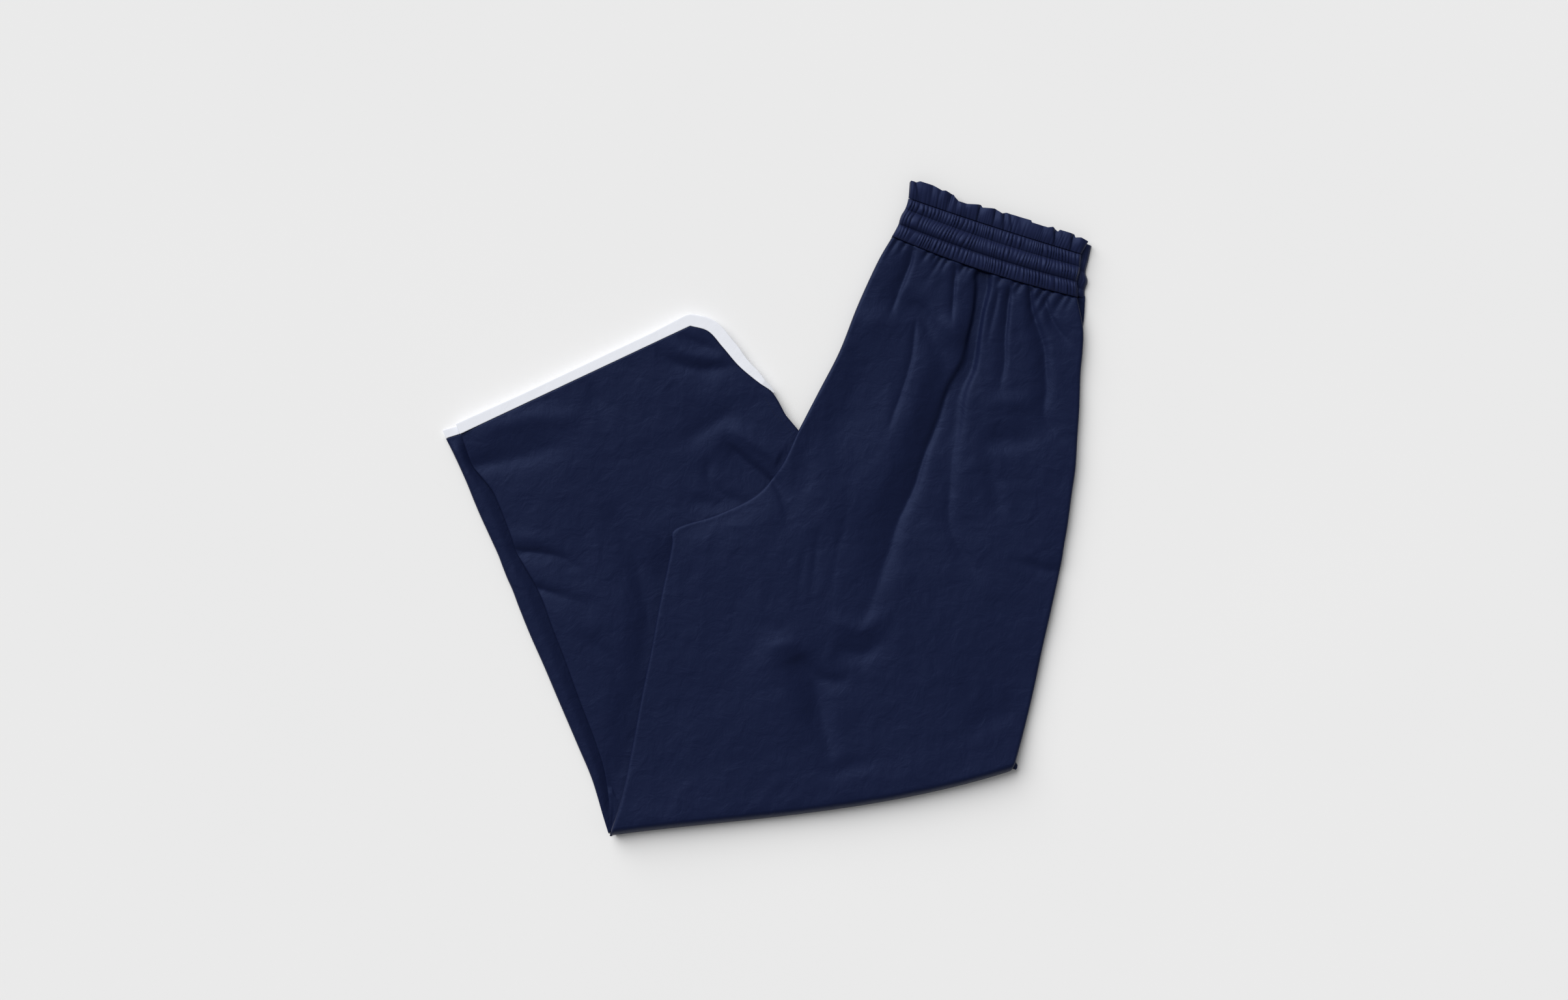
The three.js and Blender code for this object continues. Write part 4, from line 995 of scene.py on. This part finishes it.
# %% Creases of the lower leg
LOWER_CREASES = [
    # name, shape, and stations: x, y, half widths at the left and the right hand, depth
    crease("ridge over the crotch hollow", 1.8, [
        (-36, 76, 8, 7, -0.3), (-24, 68, 9, 7, -1.8), (-8, 58, 9, 7, -2.2), (8, 47, 9, 7, -1.9),
        (20, 38, 9, 7, -1),
    ]),
    crease("crotch hollow", 1.4, [
        (-40, 64, 4, 10, 0.4), (-32, 55, 4, 14, 3.2), (-20, 44, 4, 16, 4.3), (-6, 32, 4, 16, 4.8),
        (8, 20, 4, 16, 4.6),
    ]),
    crease("small fold left of it", 1.6, [
        (-50, 50, 5, 5, 0.1), (-54, 38, 5, 6, 1.3), (-52, 24, 5, 6, 1.4), (-40, 12, 6, 6, 1.4),
        (-20, 6, 6, 6, 0.9),
    ]),
    crease("soft fold at the crotch", 2, [
        (-84, 10, 8, 8, 0.1), (-66, 6, 8, 8, 1.3), (-44, 4, 8, 8, 1.4), (-24, 2, 8, 8, 0.6),
    ]),
    crease("first fold under the corner", 1.7, [
        (-82, 161, 5, 6, 0.1), (-68, 154, 5, 6, 1.4), (-54, 148, 5, 6, 1.2), (-44, 145, 5, 6, 0.3),
    ]),
    crease("second fold under the corner", 1.7, [
        (-104, 146, 6, 7, 0.1), (-88, 136, 6, 8, 1.6), (-68, 129, 6, 8, 2), (-48, 129, 6, 8, 1.9),
        (-30, 131, 6, 7, 0.7),
    ]),
    crease("ridge between them", 2, [
        (-90, 153, 6, 6, -0.3), (-70, 142, 6, 6, -1.3), (-46, 138, 6, 6, -1),
    ]),
    crease("slant fold in the middle", 1.8, [
        (-26, 94, 9, 10, 0.3), (-44, 82, 8, 12, 1.6), (-62, 70, 8, 12, 1.7), (-84, 58, 8, 10, 0.1),
    ]),
    crease("small fold near the hem", 2, [
        (-170, 118, 7, 8, 0.1), (-158, 104, 7, 8, 1.4), (-150, 88, 8, 8, 0.7),
        (-144, 72, 8, 8, 0.1),
    ]),
    crease("slant folds near the hem", 1.8, [
        (-136, 138, 5, 5, 0.1), (-124, 128, 5, 5, 1), (-114, 114, 5, 5, 0.1),
    ]),
    crease("ridge over the wide fold", 2, [
        (-266, 68, 9, 9, -0.5), (-246, 76, 10, 10, -1.4), (-222, 83, 10, 10, -1.8),
        (-196, 85, 10, 10, -1.6), (-168, 80, 10, 10, -0.2),
    ]),
    crease("wide fold under the hem", 1.8, [
        (-272, 38, 8, 8, 2), (-258, 41, 11, 9, 2.5), (-236, 46, 13, 10, 2.3),
        (-210, 52, 13, 10, 1.9), (-184, 60, 11, 10, 0.3),
    ]),
    crease("ridge over the second kink", 2, [
        (-234, -26, 7, 7, -0.6), (-216, -28, 7, 7, -1.1), (-194, -32, 7, 7, -0.2),
    ]),
    crease("second kink", 1.5, [
        (-233, -40.4, 4, 7, 2.5), (-213.8, -40.5, 4, 8, 2.3), (-192.6, -44.2, 4, 9, 1.6),
        (-168, -57.3, 5, 9, 0.3),
    ]),
    crease("third kink", 1.5, [
        (-214.5, -73, 4, 7, 2.5), (-194, -78.5, 4, 8, 1.7), (-172, -86, 5, 8, 0.9),
        (-150, -95, 5, 8, 0.1),
    ]),
    crease("fold along the pile", 1.7, [
        (-145.5, 8, 10, 14, 0.3), (-139, -8, 10, 15, 1.7), (-124, -40, 10, 16, 2.9),
        (-112, -72, 10, 16, 2.8), (-108, -96, 10, 14, 1.4), (-112, -124, 10, 12, 0.3),
    ]),
    crease("soft fold far down", 1.8, [
        (-176, -112, 7, 8, 0.1), (-160, -124, 7, 8, 1.2), (-142, -144, 7, 8, 1.2),
        (-132, -168, 7, 8, 0.1),
    ]),
]

# %% The left leg's back panel
LOWER_FINE_ROWS = 190
LOWER_FINE_COLUMNS = 118
LOWER_GRAIN = 112
LOWER_LEAST = 4.3  # creases go no lower than this, above the layers below
KNEE_LEAST = 1.5  # nor than this where the leg turns into the knee fold
UNDER_PILE_MOST = 8.0  # and the leg no higher than this where the pile lies on it
PILE_CORNER = (-86.0, -22.0)
PILE_SINK = 3.2  # the leg is pressed down beside the pile
PILE_SINK_REACH = 18
EDGE_SINK = 1.6  # and a little towards its other edge
EDGE_SINK_REACH = 13


def lower_grid(row_count, column_count, turns):
    rows = np.linspace(0, len(LOWER_ROWS) - 1, row_count)
    far, far_in = far_at(rows)
    plan, turn, _, from_edge = lower_plan(
        rows, column_count, turns, lower_edge, far, far_in, LOWER_ROUND
    )
    past = past_knee(rows)[:, None]
    roll = EDGE_SINK * np.exp(-((from_edge / EDGE_SINK_REACH) ** 2)) * (past < 0.5)
    corner, knee = np.array(PILE_CORNER), np.array(upper_inner[UPPER_LAST])
    left_of_pile = np.maximum(0, -distance_from_line(corner, knee, plan))
    down_pile = smooth((plan - corner) @ unit(knee - corner), -6, 40)
    beside_pile = PILE_SINK * down_pile * np.maximum(0, 1 - past)
    beside_pile = beside_pile * np.exp(-((left_of_pile / PILE_SINK_REACH) ** 2))
    from_pile = np.linalg.norm(plan - far[:, None], axis=-1)
    covered_rows = smooth(rows, LAST_FAR_ROW + 0.4, LAST_FAR_ROW + 1)[:, None]
    under_pile = covered_rows * (1 - smooth(from_pile, 12, 24))
    top = LOWER_TOP - crease_depth(plan, LOWER_CREASES) + crumple(plan, 0.8)
    top = np.minimum(top - beside_pile - roll, UNDER_PILE_MOST + 6 * (1 - under_pile))
    top = np.maximum(np.maximum(top, LOWER_LEAST) - KNEE_SINK * past, KNEE_LEAST)
    low = LOWER_LOW - STRIP_SINK * past
    return with_height(plan, low + (top - low) * crisp(turn))


lower = lower_grid(LOWER_FINE_ROWS, LOWER_FINE_COLUMNS, EDGE_TURNS)
left_back = cloth_sheet("left_back_cloth", lower, navy_cloth, LOWER_GRAIN, PANEL_WALL)
dress(left_back, "navy_cloth", "left_back_panel")
print("lower panel", round(sheet_area(lower), 4), "square metres")


# %% [markdown]
# The right leg's front panel lies below, and only its edge stands out. It reaches a little way
# under the left leg, and narrows to nothing at the corner of the knee.

# %% The strip of the right leg's front panel
def strip_end(rows):
    near, near_in = edge(lower_edge, rows, 1)
    far, _ = far_at(rows)
    width = np.linalg.norm(far - near, axis=-1)
    return near + near_in * np.minimum(STRIP_UNDER, STRIP_SHARE * width)[:, None], near_in


def strip_grid(row_count, column_count, turns):
    rows = np.linspace(0, len(LOWER_ROWS) - 1, row_count)
    plan, turn, width, across = lower_plan(
        rows, column_count, turns, lower_strip, *strip_end(rows), STRIP_ROUND
    )
    past = past_knee(rows)[:, None]
    rise = smooth(rows, 0.1, 1.2)[:, None] * np.clip(1 - past, 0, 1)
    shown = (width - np.minimum(STRIP_UNDER, STRIP_SHARE * width))[:, None]
    top = STRIP_TOP + 0.25 * uneven(plan[..., 0], plan[..., 1], 30, 5.5) - STRIP_SINK * past
    top = top + rise * (STRIP_CREST - STRIP_TOP - STRIP_DIP * smooth(across / shown, 0.4, 1.1))
    lift = np.sqrt(np.maximum(0, 1 - turn**2))
    return with_height(plan, mixed(STRIP_LOW - 0.7 * past, top, lift))


strip = strip_grid(260, 14, EDGE_TURNS)
right_front = cloth_sheet("right_front_cloth", strip, navy_cloth, LOWER_GRAIN, PANEL_WALL)
dress(right_front, "navy_cloth", "right_front_panel")

# %% The hidden layers of the lower legs
LAYERS_STEP = 1.6
LOWER_LAYERS_TOP = 3.4
LOWER_LAYERS_LOW = 1.3
LOWER_SIDE = [  # inset, and share of the height
    (0.1, 0.8), (0.9, 0.62), (1.0, 0.58), (0.1, 0.42), (0.0, 0.25), (0.3, 0.1), (0.9, 0.0),
]


def lower_layers_grid(row_count, column_count):
    rows = np.linspace(0, len(LOWER_ROWS) - 1, row_count)
    near, near_in = edge(lower_strip, rows, 1)
    foot, foot_in = strip_end(rows)
    far, _ = far_at(rows)
    near_in = along_end_row(near, near_in, far, rows)
    share = 1 / (1 + 2 * past_knee(rows)[:, None])
    high = foot + foot_in * LAYERS_STEP * share
    width = np.linalg.norm(far - near, axis=-1)[:, None]
    brim = np.minimum(2, 0.2 * width)
    past = past_knee(rows)
    low = LOWER_LAYERS_LOW - 0.5 * past
    top = LOWER_LAYERS_TOP - 1.45 * past
    outermost = near + near_in * 0.2 * brim
    stations = [(outermost, low - 0.2), (near + near_in * brim, low), (foot, low), (high, top)]
    shares = np.linspace(0, 1, column_count + 1)[1:]
    stations += [(mixed(high, far, across), top) for across in shares]
    return np.stack([with_height(place, z) for place, z in stations], 1)


low_top = lower_layers_grid(160, 6)
low_rim = rim_of(low_top)
low_inward = rim_inward(low_rim)
low_loops = []
for inset, share in LOWER_SIDE:
    wander = 0.3 * uneven(low_rim[:, 0], low_rim[:, 1], 20, 6.0 + 3.0 * (share < 0.6))
    place = low_rim[:, :2] + low_inward * (inset + wander)[:, None]
    low_loops.append(with_height(place, low_rim[:, 2] * share))
lower_layers = layered_body("lower_layers_cloth", low_top, low_loops, hidden_cloth, LOWER_GRAIN)
dress(lower_layers, "hidden_cloth", "lower_layers")

# %% [markdown]
# ## The white bindings of the hems
# A strip of white cloth is folded over each hem, follows it round the corner of the vent and runs
# up the outseam, where it tapers out. Seen across, it is flat on top with a fold at its outer edge,
# and tucked in below, so that it overhangs what lies under it. Each binding is lofted from such
# sections along the panel's border. The right leg's lies below and is a little narrower.

# %% Binding
BINDING_WIDTHS = [
    dict(at=0, width=10.5), dict(at=0.2, width=9.3), dict(at=0.6, width=9.6),
    dict(at=0.72, width=11.4), dict(at=0.84, width=11.2), dict(at=0.93, width=8),
    dict(at=1, width=1.4),
]
BINDING_LAST_ROW = 5  # where on the outseam it ends
BINDING_STATIONS = 420
BINDING_AROUND = 20  # mm of cloth around a section
SEAM_GAP = 0.35
LEFT_BINDING_LOW = STRIP_TOP + 0.4
LEFT_BINDING_TOP = LOWER_TOP + 0.4
RIGHT_BINDING_NARROWER = 2.4


def binding_path(grid):
    """The hem and the outseam of a grid as one line at even steps, and its length."""
    count = int(round(BINDING_LAST_ROW / (len(LOWER_ROWS) - 1) * (len(grid) - 1)))
    line = np.concatenate([grid[0], grid[1 : count + 1, -1]])[:, :2]
    return even_steps(line, BINDING_STATIONS), line_lengths(line)[-1]


def binding_section():
    """Shares of the width outwards and of the height: flat on top, and tucked in below."""
    flat = [(0.12 * k, 1.0) for k in range(1, 8)]
    outer = [(0.95, 0.997), (0.985, 0.97), (1.0, 0.91), (0.97, 0.84), (0.88, 0.77), (0.74, 0.66)]
    below = [(0.63, 0.4), (0.59, 0.15), (0.57, 0.0), (0.4, 0.0), (0.2, 0.0), (0.0, 0.0)]
    inner = [(0.0, 0.3), (0.0, 0.65), (0.0, 0.92), (0.015, 0.985), (0.05, 1.0)]
    return np.array(inner + flat + outer + below).T


def binding_piece(name, path, length, bottom, top, narrower, seed):
    outward = turned(unit(np.gradient(path, axis=0)))
    at = np.linspace(0, 1, len(path))
    stations = [row["at"] for row in BINDING_WIDTHS]
    wide = np.interp(at, stations, [row["width"] for row in BINDING_WIDTHS])
    width = np.maximum(wide - narrower, wide / 2)
    out, up = binding_section()
    count = len(out)
    height = np.minimum(top - bottom, 1.5 + 0.6 * width)[:, None] * up[None]
    along = np.repeat((at * length)[:, None], count, 1)
    puff = 0.13 * uneven(along, out[None] * 6 + 0 * along, 12.0, seed) * (up[None] > 0.6)
    start = path + outward * SEAM_GAP
    place = start[:, None] + outward[:, None] * (out[None] * width[:, None])[..., None]
    grid = with_height(place, np.maximum(bottom + height + puff, bottom))
    points = grid.reshape(-1, 3)
    index = np.arange(len(points)).reshape(-1, count)
    beside = np.roll(index, -1, axis=1)
    faces = np.stack([index[:-1], index[1:], beside[1:], beside[:-1]], -1).reshape(-1, 4).tolist()
    faces += [index[0].tolist(), index[-1][::-1].tolist()]
    around = np.repeat(np.linspace(0, BINDING_AROUND, count)[None], len(path), 0)
    uv = np.stack([along, around], -1).reshape(-1, 2) * MM
    return make_piece(name, points, faces, uv, white_binding)


left_path, left_length = binding_path(lower)
left_binding = binding_piece(
    "left_binding_cloth", left_path, left_length, LEFT_BINDING_LOW, LEFT_BINDING_TOP, 0, 2.2
)
dress(left_binding, "white_binding", "left_hem_binding")
right_path, right_length = binding_path(low_top)
right_binding = binding_piece(
    "right_binding_cloth", right_path, right_length, 0.0, STRIP_TOP, RIGHT_BINDING_NARROWER, 8.2
)
dress(right_binding, "white_binding", "right_hem_binding")
print("hem and outseam bound for", round(left_length), "mm")

# %% [markdown]
# ## The waistband
# The band is a doubled ring of cloth with three channels of elastic. Between the rows of stitches
# the cloth bulges, and the pulled-in fulness stands up as about fifty-four small gathers. They
# wander a little and carry on from one channel into the next. A fine grid has its height set from
# these two patterns: a bulge across each channel, and a ridge with a sharp valley for each gather.

# %% Rows of the waistband
BAND_ROWS = [
    dict(left=(130.5, 285.6), right=(290.1, 234), sag=1),
    dict(left=(129.3, 280.8), right=(289.5, 228.6), sag=2),
    dict(left=(127.5, 276), right=(288.9, 222.6), sag=3),
    dict(left=(124.2, 270.6), right=(288.3, 217.8), sag=3),
    dict(left=(122.4, 265.8), right=(287.1, 213), sag=3),
    dict(left=(121.5, 262.2), right=(286.2, 208.8), sag=3),
    dict(left=(119.1, 257.4), right=(286.5, 202.8), sag=3.5),
    dict(left=(115.5, 250.8), right=(286.5, 194.6), sag=4),
]
CHANNELS = [  # first and last row of each, how high it bulges, and how high its gathers stand
    dict(start=0, end=2, bulge=2.3, gather=2.0),
    dict(start=2, end=5, bulge=4.0, gather=1.7),
    dict(start=5, end=7, bulge=2.3, gather=2.2),
]
GATHERS = 54
GATHER_LEAST = 0.3  # how high they stand at the stitches
BAND_LOW = 9.7
BAND_FOOT = 8.2
BAND_ROUND = 5
BAND_TURN_IN = 0.4  # how far the lower edge is turned in below the foot
BAND_LIP = 2.4  # where the seam allowance ends, under the edge of the leg
BAND_GRAIN = 71


def band_plan(table, rows, places):
    """The plan of rows of a band, straight but for a sag in the middle."""
    left = curve([row["left"] for row in table], rows)
    right = curve([row["right"] for row in table], rows)
    sag = column(table, "sag", rows)
    plan = mixed(left[:, None], right[:, None], places[None, :, None])
    downwards = -turned(unit(right - left))[:, None]
    return plan + downwards * (sag[:, None] * 4 * places * (1 - places))[..., None]


def gather_phase(rows, places, seed):
    """Counts the gathers along the band; their lines wander from row to row."""
    s, v = np.meshgrid(places, rows)
    wander = 1.9 * uneven(7 * s, 0.10 * v, 1, seed) + 0.8 * uneven(21 * s, 0.17 * v, 1, seed + 9)
    return GATHERS * s + wander


def gather_height(phase, rows, seed):
    """A ridge with a sharp valley on each side, some of them higher than others."""
    ridge = np.abs(np.sin(math.pi * phase)) ** 0.45
    rank = uneven(0.9 * phase, 0.35 * rows[:, None] + 0 * phase, 1, seed + 20)
    return (ridge - 0.66) * np.clip(0.8 + 1.5 * rank, 0.15, 1.5)


def rounded_end(places, length, width):
    near = np.minimum(1, np.minimum(places, 1 - places) * length / width)
    return np.sqrt(np.maximum(0, 1 - (1 - near) ** 2))


def band_grid(table, channels, low, foot, lip, row_count, column_count, seed):
    """Rows of a band from its top down, and two more for the seam allowance, turned in."""
    rows = np.linspace(0, len(table) - 1, row_count)
    places = np.linspace(0, 1, column_count)
    plan = band_plan(table, rows, places)
    bulge = np.zeros(row_count)
    gather = np.full(row_count, GATHER_LEAST)
    for channel in channels:
        w = np.clip((rows - channel["start"]) / (channel["end"] - channel["start"]), 0, 1)
        arch = np.sin(math.pi * w)
        bulge += channel["bulge"] * np.maximum(arch, 0) ** 0.7
        gather += (channel["gather"] - GATHER_LEAST) * np.maximum(arch, 0) ** 0.6
    phase = gather_phase(rows, places, seed)
    top = low + bulge[:, None] + gather[:, None] * gather_height(phase, rows, seed)
    length = float(np.linalg.norm(plan[0, -1] - plan[0, 0]))
    grid = with_height(plan, foot + (top - foot) * rounded_end(places, length, BAND_ROUND))
    upwards = unit(grid[-4, :, :2] - grid[-1, :, :2])
    allowance = []
    for inward, height in ((0.8, foot - BAND_TURN_IN), (-1.0, lip)):
        line = grid[-1].copy()
        line[:, :2] += inward * upwards
        line[:, 2] = np.minimum(height, grid[-1, :, 2] - 0.3)
        allowance.append(line)
    return np.concatenate([grid, np.array(allowance)])


# %% The right half of the waistband
BAND_WALL = 0.5
BAND_SEED = 3.3  # the heading has the same, so that the gathers carry on into it

band = band_grid(BAND_ROWS, CHANNELS, BAND_LOW, BAND_FOOT, BAND_LIP, 78, 400, BAND_SEED)
right_band = cloth_sheet("right_waistband_cloth", band, waistband_cloth, BAND_GRAIN, BAND_WALL)
dress(right_band, "waistband_cloth", "right_waistband")
print("waistband", round(sheet_area(band), 5), "square metres")

# %% [markdown]
# Above the first row of stitches the cloth is free and stands up as a ruffle with pleat-like steps.
# Its upper edge is placed from the picture, and so is a table of its folds, each with its place at
# the free edge, its place at the stitches and its depth.

# %% The heading, a ruffle
RUFFLE_EDGE = [
    (131.7, 300.4), (132.9, 302.1), (137.7, 300.4), (141.3, 301.3), (153.3, 297.6), (161.7, 292.8),
    (165.0, 292.8), (172.3, 288.8), (173.2, 287.1), (177.9, 282.0), (180.0, 280.8), (197.3, 279.8),
    (198.9, 277.2), (210.3, 276.2), (216.9, 271.8), (220.5, 272.6), (243.6, 265.4), (244.2, 263.4),
    (258.9, 258.9), (263.7, 259.4), (268.3, 255.0), (270.0, 256.8), (283.5, 252.6), (284.4, 249.6),
    (289.5, 249.6), (296.4, 246.0),
]
RUFFLE_FOLDS = [  # place at the edge, place at the stitches, half widths left and right, and depth
    dict(edge=0.032, root=0.060, left=1.2, right=2.5, depth=1.7),
    dict(edge=0.123, root=0.131, left=3.0, right=3.0, depth=1.4),
    dict(edge=0.170, root=0.165, left=2.5, right=3.0, depth=1.2),
    dict(edge=0.235, root=0.225, left=4.0, right=1.6, depth=3.9),
    dict(edge=0.274, root=0.270, left=3.5, right=1.6, depth=2.1),
    dict(edge=0.320, root=0.325, left=3.0, right=3.0, depth=0.9),
    dict(edge=0.395, root=0.397, left=1.4, right=4.0, depth=3.3),
    dict(edge=0.480, root=0.490, left=1.6, right=3.5, depth=2.8),
    dict(edge=0.530, root=0.547, left=1.5, right=3.5, depth=3.0),
    dict(edge=0.561, root=0.600, left=1.6, right=4.0, depth=2.1),
    dict(edge=0.615, root=0.650, left=9.0, right=9.0, depth=2.5),
    dict(edge=0.747, root=0.768, left=3.0, right=3.0, depth=1.0),
    dict(edge=0.814, root=0.843, left=1.4, right=3.6, depth=3.6),
    dict(edge=0.852, root=0.888, left=3.0, right=3.0, depth=0.9),
    dict(edge=0.913, root=0.934, left=1.4, right=4.0, depth=3.6),
    dict(edge=0.985, root=0.990, left=1.6, right=2.0, depth=1.5),
]
HEADING_TOP = 12.4
HEADING_FOOT = 7.6
HEADING_LEANS = (17.0, 50.0)  # the direction from the band to the free edge


def ruffle_line(places):
    """The free edge at places along it."""
    line = np.array(RUFFLE_EDGE)
    along = unit(line[-1] - line[0])
    share = (line - line[0]) @ along / np.linalg.norm(line[-1] - line[0])
    return np.stack([np.interp(places, share, line[:, k]) for k in (0, 1)], -1)


def heading_grid(row_count, column_count, seed):
    """From the free edge down to the first row of stitches."""
    places = np.linspace(0, 1, column_count)
    up = np.linspace(1, 0, row_count)
    root = band_plan(BAND_ROWS, np.array([0.0]), places)[0]
    root = root + unit(np.array(HEADING_LEANS)) * SEAM_GAP
    plan = mixed(root[None], ruffle_line(places)[None], up[:, None, None])
    length = float(np.linalg.norm(plan[0, -1] - plan[0, 0]))
    depth = np.zeros(plan.shape[:2])
    for fold in RUFFLE_FOLDS:
        line = mixed(fold["root"], fold["edge"], up)[:, None]
        away = (places[None] - line) * length
        width = np.where(away < 0, fold["left"], fold["right"])
        depth += fold["depth"] * np.exp(-((np.abs(away) / width) ** 1.5))
    depth *= 0.35 + 0.65 * up[:, None]
    phase = gather_phase(np.array([0.0]), places, seed)
    small = gather_height(phase, np.zeros(1), seed) * 0.8 * (1 - up[:, None]) ** 1.2
    puff = 1.3 * np.sin(math.pi * up)[:, None] ** 0.8
    wave = 0.5 * uneven(*np.meshgrid(places * 14, up * 1.5), 1, seed)
    top = HEADING_TOP + puff + wave - depth + small - 2.2 * (1 - up[:, None])
    z = HEADING_FOOT + (top - HEADING_FOOT) * rounded_end(places, length, 3)
    return with_height(plan, z)


heading = heading_grid(34, 350, BAND_SEED)
right_heading = cloth_sheet("right_heading_cloth", heading, waistband_cloth, BAND_GRAIN, BAND_WALL)
dress(right_heading, "waistband_cloth", "right_waistband_heading")

# %% [markdown]
# The left half of the band lies under the right one. It shows at the right end, where it stands
# out by a few millimetres, and from behind, where its own ruffle lies under the upper one.

# %% The left half of the waistband
BAND_UNDER_ROWS = [
    dict(left=(132.4, 297.5), right=(300, 242.4), sag=-1),
    dict(left=(131.6, 285.6), right=(297, 228.8), sag=1),
    dict(left=(127, 272.6), right=(294.6, 217.8), sag=3),
    dict(left=(124.2, 266), right=(296.4, 210), sag=3),
    dict(left=(121.8, 259), right=(293.8, 201.6), sag=3),
    dict(left=(117.6, 251.6), right=(293.9, 193.8), sag=4),
]
UNDER_CHANNELS = [
    dict(start=0, end=1, bulge=0.6, gather=0.8),
    dict(start=1, end=2, bulge=1.3, gather=0.8),
    dict(start=2, end=4, bulge=2.0, gather=0.7),
    dict(start=4, end=5, bulge=1.3, gather=0.8),
]
UNDER_BAND_LOW = 4.9
UNDER_BAND_FOOT = 0.7
UNDER_BAND_LIP = 0.3

under_band = band_grid(
    BAND_UNDER_ROWS, UNDER_CHANNELS, UNDER_BAND_LOW, UNDER_BAND_FOOT, UNDER_BAND_LIP, 50, 250, 12.7
)
left_band = cloth_sheet("left_waistband_cloth", under_band, waistband_cloth, BAND_GRAIN, BAND_WALL)
dress(left_band, "waistband_cloth", "left_waistband")


# %% [markdown]
# ## Sewing
# A lockstitch shows as a row of short raised dashes that sink into the cloth at both ends. One
# stitch is a slim body of four rings, and a row of them is joined into one mesh. Its line is a row
# of the cloth's own grid, or runs beside its border, so the stitches lie in the cloth.

# %% Stitches
STITCH_SIDES = 6
STITCH_SINK = 0.03
STITCH_RINGS = ((-0.5, 0.45), (-0.28, 1.0), (0.28, 1.0), (0.5, 0.45))  # place and size of each


def ring_faces(first):
    """Faces of one stitch whose points start at a number."""
    rings = len(STITCH_RINGS)
    ring = np.arange(STITCH_SIDES)
    beside = (ring + 1) % STITCH_SIDES
    faces = []
    for start in range(first, first + (rings - 1) * STITCH_SIDES, STITCH_SIDES):
        above = start + STITCH_SIDES
        faces += np.stack([start + ring, start + beside, above + beside, above + ring], -1).tolist()
    return faces + [(first + ring)[::-1].tolist(), (above + ring).tolist()]


def stitches(name, lines, material, pitch, length, radius):
    points, faces = [], []
    angles = [2 * math.pi * k / STITCH_SIDES for k in range(STITCH_SIDES)]
    for line in lines:
        spots = even_steps(line, max(2, int(line_lengths(line)[-1] / pitch)) + 1)
        for here, after in zip(spots[:-1], spots[1:]):
            along = unit(after - here)
            across = unit(np.cross(along, (0, 0, 1.0)))
            above = np.cross(across, along)
            middle = (here + after) / 2 - above * STITCH_SINK
            faces += ring_faces(len(points))
            for place, size in STITCH_RINGS:
                drop = radius * 0.9 * (abs(place) > 0.4)
                centre = middle + along * place * length
                for angle in angles:
                    out = across * math.cos(angle) + above * math.sin(angle)
                    points.append(centre + radius * size * out - above * drop)
    points = np.array(points)
    return make_piece(name, points, faces, grain_map(points, 0), material)


def grid_row(grid, place, start, end):
    """The line of a grid at a share of its rows, from one share of its columns to another."""
    row = place * (len(grid) - 1)
    first = min(int(row), len(grid) - 2)
    line = mixed(grid[first], grid[first + 1], row - first)
    last = grid.shape[1] - 1
    return line[int(start * last) : int(end * last) + 1]


# %% Rows of stitches on the waistband
LAST_BAND_ROW = len(BAND_ROWS) - 1
LAST_UNDER_ROW = len(BAND_UNDER_ROWS) - 1
BAND_THREAD = dict(material=navy_thread, pitch=1.9, length=1.35, radius=0.16)

waist_places = (0.012, 2 / LAST_BAND_ROW, 5 / LAST_BAND_ROW, 6.62 / LAST_BAND_ROW)
waist_lines = [grid_row(band, place, 0.015, 0.985) for place in waist_places]
waist_stitches = stitches("waistband_stitches", waist_lines, **BAND_THREAD)
dress(waist_stitches, "waistband_cloth")
under_places = [row / LAST_UNDER_ROW for row in (1, 2, 4, 4.7)]
under_lines = [grid_row(under_band, place, 0.9, 0.975) for place in under_places]
under_stitches = stitches("left_waistband_stitches", under_lines, **BAND_THREAD)
dress(under_stitches, "waistband_cloth")
seam_line = grid_row(upper, 0.008, 0.06, 0.94)
seam_stitches = stitches("waist_seam_stitches", [seam_line], navy_thread, 2.6, 2.0, 0.16)
dress(seam_stitches, "navy_cloth")

# %% [markdown]
# One row follows the outseam of the lower leg, about eight millimetres inside its edge, and
# another holds the binding along the hem and round the corner of the vent.

# %% Stitches of the outseam and the bindings
OUTSEAM_INSET = 8.0


def inside_outseam(grid, inset, first_share, last_share):
    """A line beside the far end of each row of the lower leg's grid."""
    line = []
    for row in grid[int(first_share * len(grid)) : int(last_share * len(grid))]:
        away = np.linalg.norm(row[:, :2] - row[-1, :2], axis=1)
        line.append(row[int(np.argmin(np.abs(away - inset)))])
    return np.array(line)


def binding_line(path, height, out):
    place = path + turned(unit(np.gradient(path, axis=0))) * out
    return with_height(place, np.full(len(path), height))


outseam_line = inside_outseam(lower, OUTSEAM_INSET, 5 / 19, 6.9 / 19)
outseam_stitches = stitches("outseam_stitches", [outseam_line], navy_thread, 2.4, 1.8, 0.17)
dress(outseam_stitches, "navy_cloth")

hem_line = binding_line(left_path, LOWER_TOP + 0.05, SEAM_GAP + 1.9)[6:-40]
binding_stitches = stitches("binding_stitches", [hem_line], white_thread, 2.2, 1.6, 0.17)
dress(binding_stitches, "white_binding")
